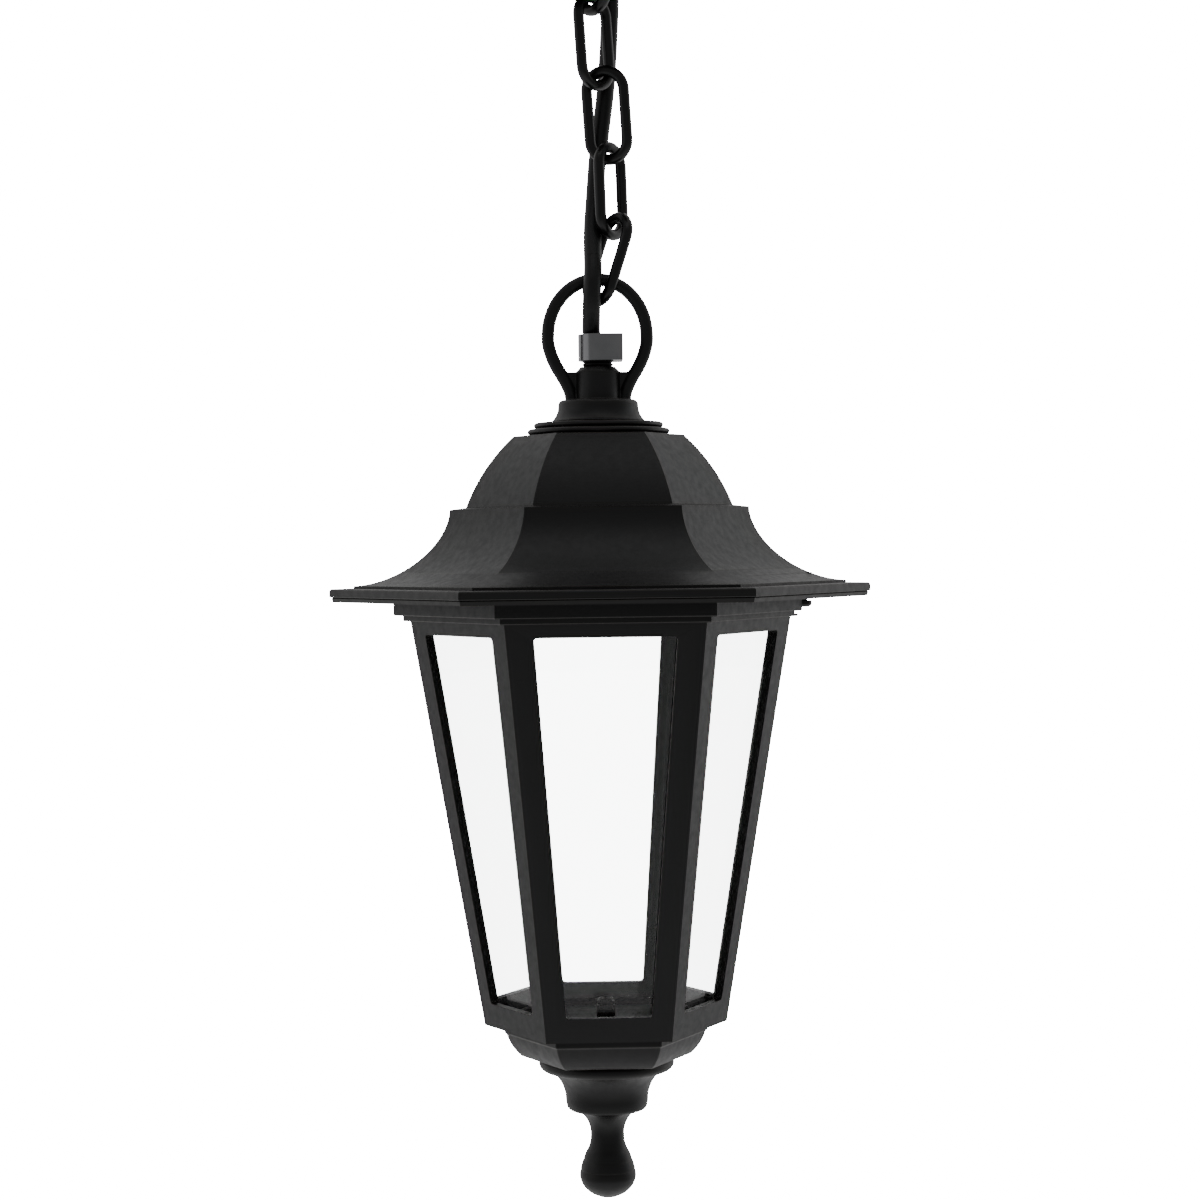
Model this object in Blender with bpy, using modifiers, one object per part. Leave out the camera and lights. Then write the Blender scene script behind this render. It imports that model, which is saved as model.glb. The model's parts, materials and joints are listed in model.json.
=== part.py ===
"""Hexagonal hanging lantern on a short chain, with its ceiling rose.

Metres, +Z up. The origin is on the ceiling face, on the lantern's axis. Two corners of the
hexagon lie on the X axis. Sizes of the lantern are given from its rim level.
"""

import math

import bmesh
import bpy
from mathutils import Matrix, Vector

COLLECTION = "hanging_lantern"
SEAT = 0.0003  # gap between touching pieces
COS30 = math.cos(math.pi / 6)

HOOK_SEAT_Z = -0.0469  # centre of the hook wire at its lowest point, from the ceiling

# Wires
LINK_WIRE = 0.0035
LINK_PITCH = 0.0242  # length inside the link
LINK_GAP = 0.0087  # width inside the link
LINK_LENGTH = LINK_PITCH + 2 * LINK_WIRE
LINK_WIDTH = LINK_GAP + 2 * LINK_WIRE
HOOK_WIRE = 0.0036
HOOK_EYE_R = 0.0061
CABLE_D = 0.0056
LOOP_WIRE = 0.0041
WEB_T = 0.0022

# Thread and cord grip
THREAD_R = 0.0049
TUBE_BORE_R = 0.0040
TUBE_FIT = 0.0003  # radial room of the threaded tube in the pieces that it clamps
GRIP_WALL = 0.0009
GRIP_R = THREAD_R + TUBE_FIT + GRIP_WALL
GRIP_REACH = 0.0078
GRIP_H = 0.0083
GRIP_FOOT = 0.0750
GRIP_SCREW_R = 0.0015
GRIP_SCREW_TIP = 0.0022
GRIP_SCREW_UP = 0.0061
TUBE_FOOT = 0.0330

# Round stack under the loop, heights from the rim level
BOSS_WALL = 0.0016
BOSS_R = THREAD_R + TUBE_FIT + BOSS_WALL
BOSS_TOP = 0.0733
CAP_TOP = 0.0628
CAP_FOOT = 0.0561
CAP_R = 0.0148
CAP_NECK_R = 0.0126
CAP_ROUND = 0.0015
CAP_HOLLOW_R = 0.0108
LOOP_HALF = 0.0155
LOOP_RISE = 0.0176
LOOP_Z = 0.0830
LOOP_LEG = ((0.0155, 0.0810), (0.0146, 0.0772), (0.0130, 0.0735), (0.01075, 0.0697),
            (0.00895, 0.0660), (0.0080, 0.0618))
WEB_TOP = 0.0716
WEB_INSET = 0.0012
DISC_T = 0.0017
UPPER_DISC_R = 0.0203
LOWER_DISC_R = 0.0223

# Roof
WALL = 0.0020
DOME_TOP = 0.0517
DOME_TOP_R = 0.0267
DOME_FOOT = 0.0295
DOME_FOOT_R = 0.0419
DOME_BOW_R = 0.058
SKIRT_TOP = 0.0289
SKIRT_TOP_R = 0.0470
SKIRT_FOOT = 0.00545
SKIRT_FOOT_R = 0.0773
SKIRT_POWER = 1.75
RIM_R = 0.0850
RIM_TOP = 0.0046
RIM_FOOT = 0.0022
SPIGOT_R = 0.0530
SPIGOT_FOOT = -0.0050
SPIGOT_T = 0.0018
ROOF_BORE_R = (THREAD_R + TUBE_FIT) / COS30  # corner radius of the hexagonal tube hole
ROOF_BOSS_WALL = 0.0016
ROOF_BOSS_TOP = 0.0066

# Cage
FLANGE_R = 0.0843
FLANGE_TOP = 0.0019
FLANGE_FOOT = 0.0004
COLLAR_R = 0.0650
COLLAR_FOOT = -0.0040
LOWER_COLLAR_R = 0.0620
LOWER_COLLAR_FOOT = -0.0058
BODY_TOP_R = 0.0597
BODY_FOOT_R = 0.0380
BODY_FOOT = -0.1326
CAGE_WALL = 0.0026
WINDOW_TOP = -0.0099
SILL_H = 0.0076
WINDOW_FOOT = BODY_FOOT + SILL_H
POST_TOP_W = 0.0082
POST_FOOT_W = 0.0067
WINDOW_ROUND = 0.0010
FLOOR_T = 0.0014
LEDGE_H = 0.0018
LEDGE_T = 0.0018
RIB_TOP = -0.0272
RIB_FOOT = -0.0440
RIB_BITE = 0.0015
RIB_R = 0.0499
RIB_T = 0.0020
PANE_T = 0.0020
PANE_LAP = 0.0033
PANE_OVERLAP = 0.0022
CAGE_SCREW_AT_R = 0.0636
CAGE_SCREW_HEAD_R = 0.0028
CAGE_SCREW_HEAD_T = 0.0020
CAGE_SCREW_R = 0.0014
CAGE_SCREW_L = 0.0060
SCREW_SEAT = -0.0006
SCREW_NOTCH = 0.0008
SCREW_CORNERS = (0, 60, 120)  # degrees from +X
GASKET_R = 0.0705
GASKET_BORE_R = 0.0675
GASKET_T = 0.0012

# Under the cage
CUP_R = 0.0320
CUP_H = 0.0098
CUP_FOOT_R = 0.0265
CUP_WALL = 0.0018
STUD_R = 0.0013
STUD_HEAD_R = 0.0028
STUD_HEAD_T = 0.0020
POST_R = 0.0029
POST_H = 0.0046
POST_TOP = BODY_FOOT + FLOOR_T + POST_H
FINIAL_TOP = BODY_FOOT - SEAT - CUP_H - SEAT
FINIAL_DRILL = 0.0105

# Lampholder
HOLDER_R = 0.0190
HOLDER_TOP = 0.0440
HOLDER_FOOT = -0.0060
SOCKET_R = 0.0137
HOLDER_WALL = 0.0018
HOLDER_CAP_H = 0.0180
INSERT_T = 0.0080
RING_T = 0.0028
RING_H = 0.0060
WASHER_R = 0.0110
WASHER_T = 0.0012
LOCK_NUT_WALL = 0.0018
LOCK_NUT_T = 0.0030

# Ceiling rose
ROSE_R = 0.0430
ROSE_FOOT = -0.0285
ROSE_WALL = 0.0014
ROSE_ROUND = 0.28  # share of the radius
STRAP_L = 0.0640
STRAP_W = 0.0160
STRAP_T = 0.0025
STRAP_HOLE_R = 0.0022
STRAP_HOLE_AT = 0.0250
SMALL_NUT_ACROSS = 0.008
HOOK_NUT_T = 0.004
ROSE_NUT_T = 0.0028
GROMMET_R = 0.0046
GROMMET_LIP = 0.0008
CABLE_EXIT_X = 0.0057
CABLE_EXIT_Y = 0.0086

# Link placement: name, centre (x, y), lift off the piece that carries it as a share of the
# wire, turn and leans in degrees. The leans tip the link's top towards +X and +Y.
LINKS = (
    ("chain_link_1", (0.0001, 0.0000), 0.057, 44, -3.3, 0),
    ("chain_link_2", (0.0039, 0.0016), 0.286, -19, -3.5, -5.3),
    ("chain_link_3", (0.0049, 0.0028), 0.057, 54, -1.6, 0),
    ("chain_link_4", (0.0035, 0.0008), 0.600, -55, 17.8, 0),
)
LOOP_DROP = 0.8  # how far the slanting last link lifts the loop, as a share of the wire
HOOK_TURN = -50

# The cable's route, heights from the rim level, from the rose down into the lampholder
CABLE_ROUTE = (
    (0.0057, 0.0086, 0.2120), (0.0057, 0.0086, 0.2040), (0.0057, 0.0086, 0.1960),
    (0.0056, 0.0089, 0.1883), (0.0052, 0.0091, 0.1800), (0.0047, 0.0094, 0.1720),
    (0.0041, 0.0096, 0.1640), (0.0033, 0.0097, 0.1570), (0.0024, 0.0097, 0.1505),
    (0.0016, 0.0094, 0.1444), (0.0008, 0.0088, 0.1380), (0.0002, 0.0075, 0.1310),
    (-0.0004, 0.0055, 0.1240), (-0.0010, 0.0026, 0.1170), (-0.0012, -0.0013, 0.1100),
    (-0.0012, -0.0044, 0.1040), (-0.0015, -0.0061, 0.0985), (-0.0018, -0.0056, 0.0930),
    (-0.0019, -0.0032, 0.0880), (-0.0019, -0.0007, 0.0840), (-0.0012, -0.0001, 0.0805),
    (-0.0006, 0.0000, 0.0765), (0.0000, 0.0000, 0.0700), (0.0000, 0.0000, 0.0560),
    (0.0000, 0.0000, 0.0420), (0.0000, 0.0000, 0.0350),
)


def link_heights():
    """Height of each link's centre from the ceiling: each hangs from the one above."""
    reach = (LINK_LENGTH - LINK_WIRE) / 2
    z = HOOK_SEAT_Z + (HOOK_WIRE + LINK_WIRE) / 2 + SEAT - reach + LINKS[0][2] * LINK_WIRE
    heights = [z]
    for entry in LINKS[1:]:
        z -= LINK_LENGTH - 2 * LINK_WIRE - SEAT - entry[2] * LINK_WIRE
        heights.append(z)
    return heights


def rim_level():
    """The rim's height from the ceiling: the loop hangs from the last link."""
    seat = link_heights()[-1] - (LINK_LENGTH - LINK_WIRE) / 2 * math.cos(math.radians(LINKS[-1][4]))
    crown = seat + (LINK_WIRE + LOOP_WIRE) / 2 + SEAT + LOOP_DROP * LINK_WIRE
    return round(crown - LOOP_Z - LOOP_RISE, 4)


RIM_Z = rim_level()


# ---------------------------------------------------------------- scene and materials

def clear_scene():
    for old in list(bpy.data.objects):
        bpy.data.objects.remove(old, do_unlink=True)
    for old in list(bpy.data.collections):
        bpy.data.collections.remove(old)


def new_collection(name, hidden=False):
    collection = bpy.data.collections.new(name)
    bpy.context.scene.collection.children.link(collection)
    collection.hide_render = hidden
    return collection


def make_material(name, colour, roughness, metallic=0.0, alpha=1.0):
    material = bpy.data.materials.new(name)
    material.use_nodes = True
    shader = material.node_tree.nodes["Principled BSDF"]
    shader.inputs["Base Color"].default_value = (*colour, 1)
    shader.inputs["Roughness"].default_value = roughness
    shader.inputs["Metallic"].default_value = metallic
    shader.inputs["Alpha"].default_value = alpha
    return material


LOOKS = {
    "black": ((0.018, 0.018, 0.020), 0.45, 0.0, 1.0),
    "black_steel": ((0.020, 0.020, 0.022), 0.35, 0.6, 1.0),
    "gunmetal": ((0.13, 0.13, 0.135), 0.35, 1.0, 1.0),
    "cable": ((0.015, 0.015, 0.015), 0.5, 0.0, 1.0),
    "steel": ((0.55, 0.55, 0.56), 0.35, 1.0, 1.0),
    "brass": ((0.72, 0.55, 0.25), 0.3, 1.0, 1.0),
    "holder": ((0.03, 0.03, 0.03), 0.4, 0.0, 1.0),
    "ceramic": ((0.85, 0.84, 0.80), 0.3, 0.0, 1.0),
    "rubber": ((0.03, 0.03, 0.03), 0.8, 0.0, 1.0),
    "glass": ((0.95, 0.97, 0.97), 0.02, 0.0, 0.25),
}


# ---------------------------------------------------------------- mesh tools

def link_object(name, mesh, collection):
    thing = bpy.data.objects.new(name, mesh)
    collection.objects.link(thing)
    return thing


def bake(thing):
    """Gives the object the mesh that its modifiers make."""
    bpy.context.view_layer.update()
    graph = bpy.context.evaluated_depsgraph_get()
    mesh = bpy.data.meshes.new_from_object(thing.evaluated_get(graph))
    thing.modifiers.clear()
    thing.data = mesh
    return thing


def oriented(profile):
    """The profile running down its outer side, which turns it the right way out."""
    area = 0.0
    for (r0, z0), (r1, z1) in zip(profile, profile[1:] + profile[:1]):
        area += r0 * z1 - r1 * z0
    return list(profile) if area < 0 else list(reversed(profile))


def turned(name, profile, steps, centre=(0, 0, 0)):
    """A closed outline of (radius, height), or one that starts and ends on the axis, turned."""
    on_axis = profile[0][0] == 0 and profile[-1][0] == 0
    points = oriented(list(profile))
    mesh = bpy.data.meshes.new(name)
    edges = [(i, i + 1) for i in range(len(points) - 1)]
    if not on_axis:
        edges.append((len(points) - 1, 0))
    mesh.from_pydata([(r, 0, z) for r, z in points], edges, [])
    thing = link_object(name, mesh, PARTS)
    screw = thing.modifiers.new("turn", "SCREW")
    screw.steps = screw.render_steps = steps
    screw.use_merge_vertices = on_axis
    screw.merge_threshold = 0.00001
    bake(thing)
    thing.data.transform(Matrix.Translation(centre))
    return thing


def plate(name, outline, z_low, z_high, collection=None):
    """A flat outline with its thickness along Z, made from a filled 2D curve."""
    curve = bpy.data.curves.new(name, "CURVE")
    curve.dimensions = "2D"
    curve.fill_mode = "BOTH"
    curve.extrude = (z_high - z_low) / 2
    spline = curve.splines.new("POLY")
    spline.points.add(len(outline) - 1)
    for point, (x, y) in zip(spline.points, outline):
        point.co = (x, y, 0, 1)
    spline.use_cyclic_u = True
    return mesh_of_curve(name, curve, Matrix.Translation((0, 0, (z_low + z_high) / 2)), collection)


def wire(name, points, diameter, sides=8, closed=False):
    """A round wire through the points, with flat ends."""
    curve = bpy.data.curves.new(name, "CURVE")
    curve.dimensions = "3D"
    curve.bevel_depth = diameter / 2
    curve.bevel_resolution = sides // 2 - 2
    curve.use_fill_caps = not closed
    spline = curve.splines.new("POLY")
    spline.points.add(len(points) - 1)
    for point, place in zip(spline.points, points):
        point.co = (*place, 1)
    spline.use_cyclic_u = closed
    return mesh_of_curve(name, curve, Matrix.Identity(4), None)


def mesh_of_curve(name, curve, matrix, collection):
    temporary = bpy.data.objects.new(name + "_curve", curve)
    PARTS.objects.link(temporary)
    bpy.context.view_layer.update()
    graph = bpy.context.evaluated_depsgraph_get()
    mesh = bpy.data.meshes.new_from_object(temporary.evaluated_get(graph))
    bpy.data.objects.remove(temporary, do_unlink=True)
    work = bmesh.new()
    work.from_mesh(mesh)
    bmesh.ops.remove_doubles(work, verts=work.verts, dist=0.000001)
    bmesh.ops.recalc_face_normals(work, faces=work.faces)
    work.to_mesh(mesh)
    work.free()
    mesh.transform(matrix)
    return link_object(name, mesh, collection or PARTS)


def box(name, low, high, collection=None):
    work = bmesh.new()
    bmesh.ops.create_cube(work, size=1.0)
    size = Vector(high) - Vector(low)
    middle = (Vector(high) + Vector(low)) / 2
    bmesh.ops.scale(work, vec=size, verts=work.verts)
    bmesh.ops.translate(work, vec=middle, verts=work.verts)
    mesh = bpy.data.meshes.new(name)
    work.to_mesh(mesh)
    work.free()
    return link_object(name, mesh, collection or PARTS)


def rod(name, radius, start, end, sides=24, collection=None):
    """A cylinder from start to end."""
    start, end = Vector(start), Vector(end)
    work = bmesh.new()
    bmesh.ops.create_cone(work, cap_ends=True, segments=sides, radius1=radius,
                          radius2=radius, depth=(end - start).length)
    turn = Vector((0, 0, 1)).rotation_difference(end - start).to_matrix().to_4x4()
    bmesh.ops.transform(work, matrix=Matrix.Translation((start + end) / 2) @ turn,
                        verts=work.verts)
    mesh = bpy.data.meshes.new(name)
    work.to_mesh(mesh)
    work.free()
    return link_object(name, mesh, collection or PARTS)


def combine(thing, others, operation):
    for other in others:
        step = thing.modifiers.new(other.name, "BOOLEAN")
        step.operation = operation
        step.solver = "EXACT"
        step.object = other
    bake(thing)
    return thing


def cut(thing, cutters):
    for cutter in cutters:
        cutter.hide_render = True
        cutter.display_type = "WIRE"
    return combine(thing, cutters, "DIFFERENCE")


def join(thing, others):
    combine(thing, others, "UNION")
    for other in others:
        bpy.data.objects.remove(other, do_unlink=True)
    return thing


def arc(centre, radius, start, end, count):
    """Points on a circle between two angles in degrees."""
    points = []
    for i in range(count + 1):
        angle = math.radians(start + (end - start) * i / count)
        points.append((centre[0] + radius * math.cos(angle), centre[1] + radius * math.sin(angle)))
    return points


def arc_between(start, end, radius, count, side=1):
    """Points on an arc of this radius from start to end, bowed to one side of the chord."""
    (x0, y0), (x1, y1) = start, end
    half = math.hypot(x1 - x0, y1 - y0) / 2
    drop = math.sqrt(radius * radius - half * half)
    nx, ny = (y1 - y0) / (2 * half), -(x1 - x0) / (2 * half)
    cx, cy = (x0 + x1) / 2 - side * nx * drop, (y0 + y1) / 2 - side * ny * drop
    a0 = math.atan2(y0 - cy, x0 - cx)
    a1 = math.atan2(y1 - cy, x1 - cx)
    turn = (a1 - a0 + math.pi) % (2 * math.pi) - math.pi
    return [(cx + radius * math.cos(a0 + turn * i / count),
             cy + radius * math.sin(a0 + turn * i / count)) for i in range(count + 1)]


def smooth_route(points, spacing):
    """Points about this far apart on a smooth curve through the route's own points."""
    places = [Vector(p) for p in points]
    padded = [2 * places[0] - places[1]] + places + [2 * places[-1] - places[-2]]
    out = [places[0]]
    for i in range(1, len(padded) - 2):
        p0, p1, p2, p3 = padded[i - 1:i + 3]
        count = max(1, round((p2 - p1).length / spacing))
        for k in range(1, count + 1):
            t = k / count
            out.append(0.5 * (2 * p1 + (p2 - p0) * t + (2 * p0 - 5 * p1 + 4 * p2 - p3) * t * t
                              + (3 * p1 - p0 - 3 * p2 + p3) * t * t * t))
    return out


# ---------------------------------------------------------------- finishing a part

def finish(thing, look, pivot=None, level=RIM_Z):
    """Gives a part its material, its place and its parent."""
    material = make_material(thing.name, *LOOKS[look])
    thing.data.materials.clear()
    thing.data.materials.append(material)
    thing.data.shade_smooth()
    thing.data.set_sharp_from_angle(angle=math.radians(32))
    thing.location = (0, 0, level)
    if pivot is not None:
        thing.parent = pivot
        thing.location = Vector((0, 0, level)) - pivot.location
    return thing


def make_pivot(name, place):
    empty = bpy.data.objects.new(name, None)
    empty.empty_display_size = 0.01
    empty.location = place
    PARTS.objects.link(empty)
    return empty


# ---------------------------------------------------------------- chain

def link_matrix(index):
    _, (x, y), _, turn, lean_x, lean_y = LINKS[index]
    place = Matrix.Translation((x, y, link_heights()[index]))
    tip_x = Matrix.Rotation(math.radians(lean_x), 4, "Y")
    tip_y = Matrix.Rotation(math.radians(-lean_y), 4, "X")
    return place @ tip_y @ tip_x @ Matrix.Rotation(math.radians(turn), 4, "Z")


def link_outline():
    """Centre line of a link, standing in the XZ plane."""
    half = (LINK_WIDTH - LINK_WIRE) / 2
    straight = LINK_LENGTH / 2 - LINK_WIRE / 2 - half
    top = arc((0, straight), half, 0, 180, 12)
    foot = arc((0, -straight), half, 180, 360, 12)
    return [(x, 0, z) for x, z in top + foot]


def link_seat(index):
    """Centre of the wire at the link's lowest bend, where the next piece hangs."""
    return link_matrix(index) @ Vector((0, 0, -(LINK_LENGTH - LINK_WIRE) / 2))


def make_links(pivots):
    for index, pivot in enumerate(pivots):
        thing = wire(LINKS[index][0], link_outline(), LINK_WIRE, closed=True)
        thing.data.transform(Matrix.Translation((0, 0, -RIM_Z)) @ link_matrix(index))
        finish(thing, "black_steel", pivot)


# ---------------------------------------------------------------- ceiling rose

def make_hook():
    turn = Matrix.Rotation(math.radians(HOOK_TURN), 3, "Z")
    eye = arc((0, HOOK_SEAT_Z + HOOK_EYE_R), HOOK_EYE_R, 130, 405, 20)
    crown = HOOK_SEAT_Z + 2 * HOOK_EYE_R
    neck = [(0.0031, crown - 0.0004), (0.0017, crown + 0.0007), (0.0005, crown + 0.0018),
            (0, crown + 0.0029), (0, -STRAP_T - SEAT)]
    points = [turn @ Vector((x, 0, z)) for x, z in eye + neck]
    finish(wire("ceiling_hook", points, HOOK_WIRE), "black_steel", level=0)


def hex_outline(across, turn=0):
    return arc((0, 0), across / 2 / COS30, turn, 360 + turn, 6)[:-1]


def make_nut(name, across, bore_r, low, high, look, pivot, level):
    nut = plate(name, hex_outline(across), low, high)
    cut(nut, [rod(name + "_bore", bore_r, (0, 0, low - 0.001), (0, 0, high + 0.001),
                  collection=CUTTERS)])
    return finish(nut, look, pivot, level)


def make_rose():
    strap = box("ceiling_bracket", (-STRAP_L / 2, -STRAP_W / 2, -STRAP_T),
                (STRAP_L / 2, STRAP_W / 2, 0))
    holes = [rod(f"strap_hole_{side}", STRAP_HOLE_R, (side * STRAP_HOLE_AT, 0, -0.01),
                 (side * STRAP_HOLE_AT, 0, 0.01), collection=CUTTERS) for side in (-1, 1)]
    finish(cut(strap, holes), "steel", level=0)

    nut_bore = HOOK_WIRE / 2 + SEAT
    make_nut("hook_nut", SMALL_NUT_ACROSS, nut_bore, -STRAP_T - SEAT - HOOK_NUT_T,
             -STRAP_T - SEAT, "steel", None, 0)
    make_nut("rose_nut", SMALL_NUT_ACROSS, nut_bore, ROSE_FOOT - SEAT - ROSE_NUT_T,
             ROSE_FOOT - SEAT, "black_steel", None, 0)

    top = -SEAT
    r, w = ROSE_R, ROSE_WALL
    bend = r * ROSE_ROUND
    profile = [(nut_bore + SEAT, ROSE_FOOT), (r - bend, ROSE_FOOT)]
    profile += arc((r - bend, ROSE_FOOT + bend), bend, 270, 360, 4)[1:]
    profile += [(r, top), (r - w, top), (r - w, ROSE_FOOT + bend)]
    profile += arc((r - bend, ROSE_FOOT + bend), bend - w, 360, 270, 4)[1:]
    profile += [(nut_bore + SEAT, ROSE_FOOT + w)]
    rose = turned("rose_cover", profile, 32)
    exit_hole = rod("cable_exit", GROMMET_R - GROMMET_LIP, (CABLE_EXIT_X, CABLE_EXIT_Y, ROSE_FOOT - 0.004),
                    (CABLE_EXIT_X, CABLE_EXIT_Y, ROSE_FOOT + 0.006), collection=CUTTERS)
    finish(cut(rose, [exit_hole]), "black", level=0)

    neck = GROMMET_R - GROMMET_LIP - SEAT
    bore = CABLE_D / 2 + SEAT
    low, high = ROSE_FOOT - SEAT, ROSE_FOOT + ROSE_WALL + SEAT
    grommet = [(bore, low - 0.0016), (GROMMET_R, low - 0.0016), (GROMMET_R, low),
               (neck, low), (neck, high), (GROMMET_R, high), (GROMMET_R, high + 0.0012),
               (bore, high + 0.0012)]
    finish(turned("rose_grommet", grommet, 24, (CABLE_EXIT_X, CABLE_EXIT_Y, 0)), "rubber", level=0)

    low = CABLE_ROUTE[0][2] + RIM_Z + SEAT
    block = box("terminal_block", (CABLE_EXIT_X - 0.008, CABLE_EXIT_Y - 0.0012, low),
                (CABLE_EXIT_X + 0.008, CABLE_EXIT_Y + 0.0138, -STRAP_T - 0.001))
    drills = []
    for side in (-1, 1):
        x = CABLE_EXIT_X + side * 0.004
        y = CABLE_EXIT_Y + 0.0063
        drills.append(rod(f"wire_way_{side}", 0.0015, (x, CABLE_EXIT_Y - 0.01, low + 0.006),
                          (x, CABLE_EXIT_Y + 0.02, low + 0.006), 12, CUTTERS))
        drills.append(rod(f"screw_way_{side}", 0.0014, (x, y, low - 0.01),
                          (x, y, low + 0.006), 12, CUTTERS))
    finish(cut(block, drills), "ceramic", level=0)


# ---------------------------------------------------------------- loop, cap and discs

def make_hanger(pivot):
    """The wire loop, its two webs, the boss that the tube passes and the cap under it."""
    top = [(LOOP_HALF * math.cos(math.radians(a)), LOOP_Z + LOOP_RISE * math.sin(math.radians(a)))
           for a in range(0, 181, 10)]
    outline = [(x, 0, z) for x, z in reversed(LOOP_LEG)] + [(x, 0, z) for x, z in top]
    outline += [(-x, 0, z) for x, z in LOOP_LEG]
    loop = wire("hanger", outline, LOOP_WIRE)

    bore = THREAD_R + TUBE_FIT
    flare = arc_between((CAP_R, CAP_FOOT), (CAP_NECK_R, CAP_TOP - CAP_ROUND - 0.0001), 0.0065, 5, -1)
    shoulder = arc((CAP_NECK_R - CAP_ROUND, CAP_TOP - CAP_ROUND), CAP_ROUND, 0, 90, 4)
    profile = flare + shoulder + [
        (BOSS_R, CAP_TOP), (BOSS_R, BOSS_TOP - 0.0016), (BOSS_R - BOSS_WALL + 0.0001, BOSS_TOP),
        (bore, BOSS_TOP), (bore, CAP_TOP - WALL), (CAP_HOLLOW_R, CAP_TOP - WALL),
        (CAP_HOLLOW_R, CAP_FOOT)]
    body = turned("hanger_body", profile, 32)
    low_leg = [(x, z) for x, z in reversed(LOOP_LEG) if z < WEB_TOP]
    edge = low_leg + [(LOOP_LEG[-4][0] - WEB_INSET, WEB_TOP)]
    web_outline = edge + [(-x, z) for x, z in reversed(edge)]
    webs = plate("hanger_web", web_outline, -WEB_T / 2, WEB_T / 2)
    webs.data.transform(Matrix.Rotation(math.radians(90), 4, "X"))
    join(webs, [loop])
    join(webs, [body])
    way = rod("tube_way", bore, (0, 0, CAP_TOP - 0.003), (0, 0, BOSS_TOP + 0.002), 40, CUTTERS)
    cut(webs, [way])
    webs.name = "hanger"
    return finish(webs, "black", pivot)


def make_disc(name, radius, low, pivot):
    """A thin round disc with a rounded edge and a hole for the tube."""
    r = DISC_T / 2
    profile = arc((radius - r, low + r), r, -90, 90, 6)
    profile += [(THREAD_R + TUBE_FIT, low + DISC_T), (THREAD_R + TUBE_FIT, low)]
    return finish(turned(name, profile, 32), "black", pivot)


def make_tube_and_grip(pivot):
    top, foot = GRIP_FOOT + GRIP_H * 0.45, TUBE_FOOT
    tube = [(TUBE_BORE_R, top), (THREAD_R, top), (THREAD_R, foot), (TUBE_BORE_R, foot)]
    finish(turned("nipple", tube, 32), "black_steel", pivot)

    outline = arc((0, 0), GRIP_R, 90, 270, 12)
    outline += [(GRIP_REACH - 0.0006, -GRIP_R), (GRIP_REACH, -GRIP_R + 0.0006),
                (GRIP_REACH, GRIP_R - 0.0006), (GRIP_REACH - 0.0006, GRIP_R)]
    grip = plate("cord_grip", outline, GRIP_FOOT, GRIP_FOOT + GRIP_H)
    bore = rod("grip_bore", THREAD_R + TUBE_FIT, (0, 0, GRIP_FOOT - 0.002),
               (0, 0, GRIP_FOOT + GRIP_H + 0.002), 32, CUTTERS)
    screw_z = GRIP_FOOT + GRIP_SCREW_UP
    way = rod("grip_screw_way", GRIP_SCREW_R + SEAT, (0.002, 0, screw_z),
              (GRIP_REACH + 0.002, 0, screw_z), 20, CUTTERS)
    finish(cut(grip, [bore, way]), "gunmetal", pivot)

    screw = rod("grip_screw", GRIP_SCREW_R, (GRIP_SCREW_TIP, 0, screw_z),
                (GRIP_REACH - SEAT, 0, screw_z), 20)
    slot = box("grip_screw_slot", (GRIP_REACH - 0.0012, -0.0003, screw_z - 0.003),
               (GRIP_REACH + 0.001, 0.0003, screw_z + 0.003), CUTTERS)
    finish(cut(screw, [slot]), "steel", pivot)


# ---------------------------------------------------------------- roof

def roof_outer():
    """The roof's outside from the dome's flat top down to the rim."""
    points = [(ROOF_BORE_R, DOME_TOP)]
    points += arc_between((DOME_TOP_R, DOME_TOP), (DOME_FOOT_R, DOME_FOOT), DOME_BOW_R, 6, -1)
    width, height = SKIRT_FOOT_R - SKIRT_TOP_R, SKIRT_TOP - SKIRT_FOOT
    for i in range(10):
        angle = math.radians(90 * i / 9)
        out = 1 - math.cos(angle) ** (2 / SKIRT_POWER)
        down = math.sin(angle) ** (2 / SKIRT_POWER)
        points.append((SKIRT_TOP_R + width * out, SKIRT_TOP - height * down))
    points += [(SKIRT_FOOT_R, RIM_TOP), (RIM_R - 0.0009, RIM_TOP), (RIM_R - 0.0003, RIM_TOP - 0.0003),
               (RIM_R, RIM_TOP - 0.0009), (RIM_R, RIM_FOOT)]
    return points


def roof_inner():
    """The roof's inside from the rim up to the dome, with the spigot that holds the panes."""
    width, height = SKIRT_FOOT_R - SKIRT_TOP_R, SKIRT_TOP - SKIRT_FOOT
    spigot_out, spigot_in = SPIGOT_R, SPIGOT_R - SPIGOT_T

    def under(radius):
        share = min(1.0, max(0.0, (SKIRT_FOOT_R - WALL - radius) / width))
        return SKIRT_TOP - WALL - height * (1 - share ** SKIRT_POWER) ** (1 / SKIRT_POWER)

    rim_in = SKIRT_FOOT_R - WALL
    points = [(rim_in, RIM_FOOT)]
    points += [(r, under(r)) for r in (rim_in - 0.004, rim_in - 0.010, spigot_out)]
    points += [(spigot_out, SPIGOT_FOOT), (spigot_in, SPIGOT_FOOT), (spigot_in, under(spigot_in))]
    points += [(DOME_FOOT_R + 0.0035, SKIRT_TOP - WALL * 2)]
    points += [(DOME_FOOT_R - WALL, SKIRT_TOP - WALL * 2)]
    points += [(DOME_FOOT_R - WALL, DOME_FOOT)]
    points += reversed(arc_between((DOME_TOP_R - WALL, DOME_TOP - WALL),
                                   (DOME_FOOT_R - WALL, DOME_FOOT + 0.001), DOME_BOW_R, 4, -1))
    points += [(ROOF_BORE_R, DOME_TOP - WALL)]
    return points


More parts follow.
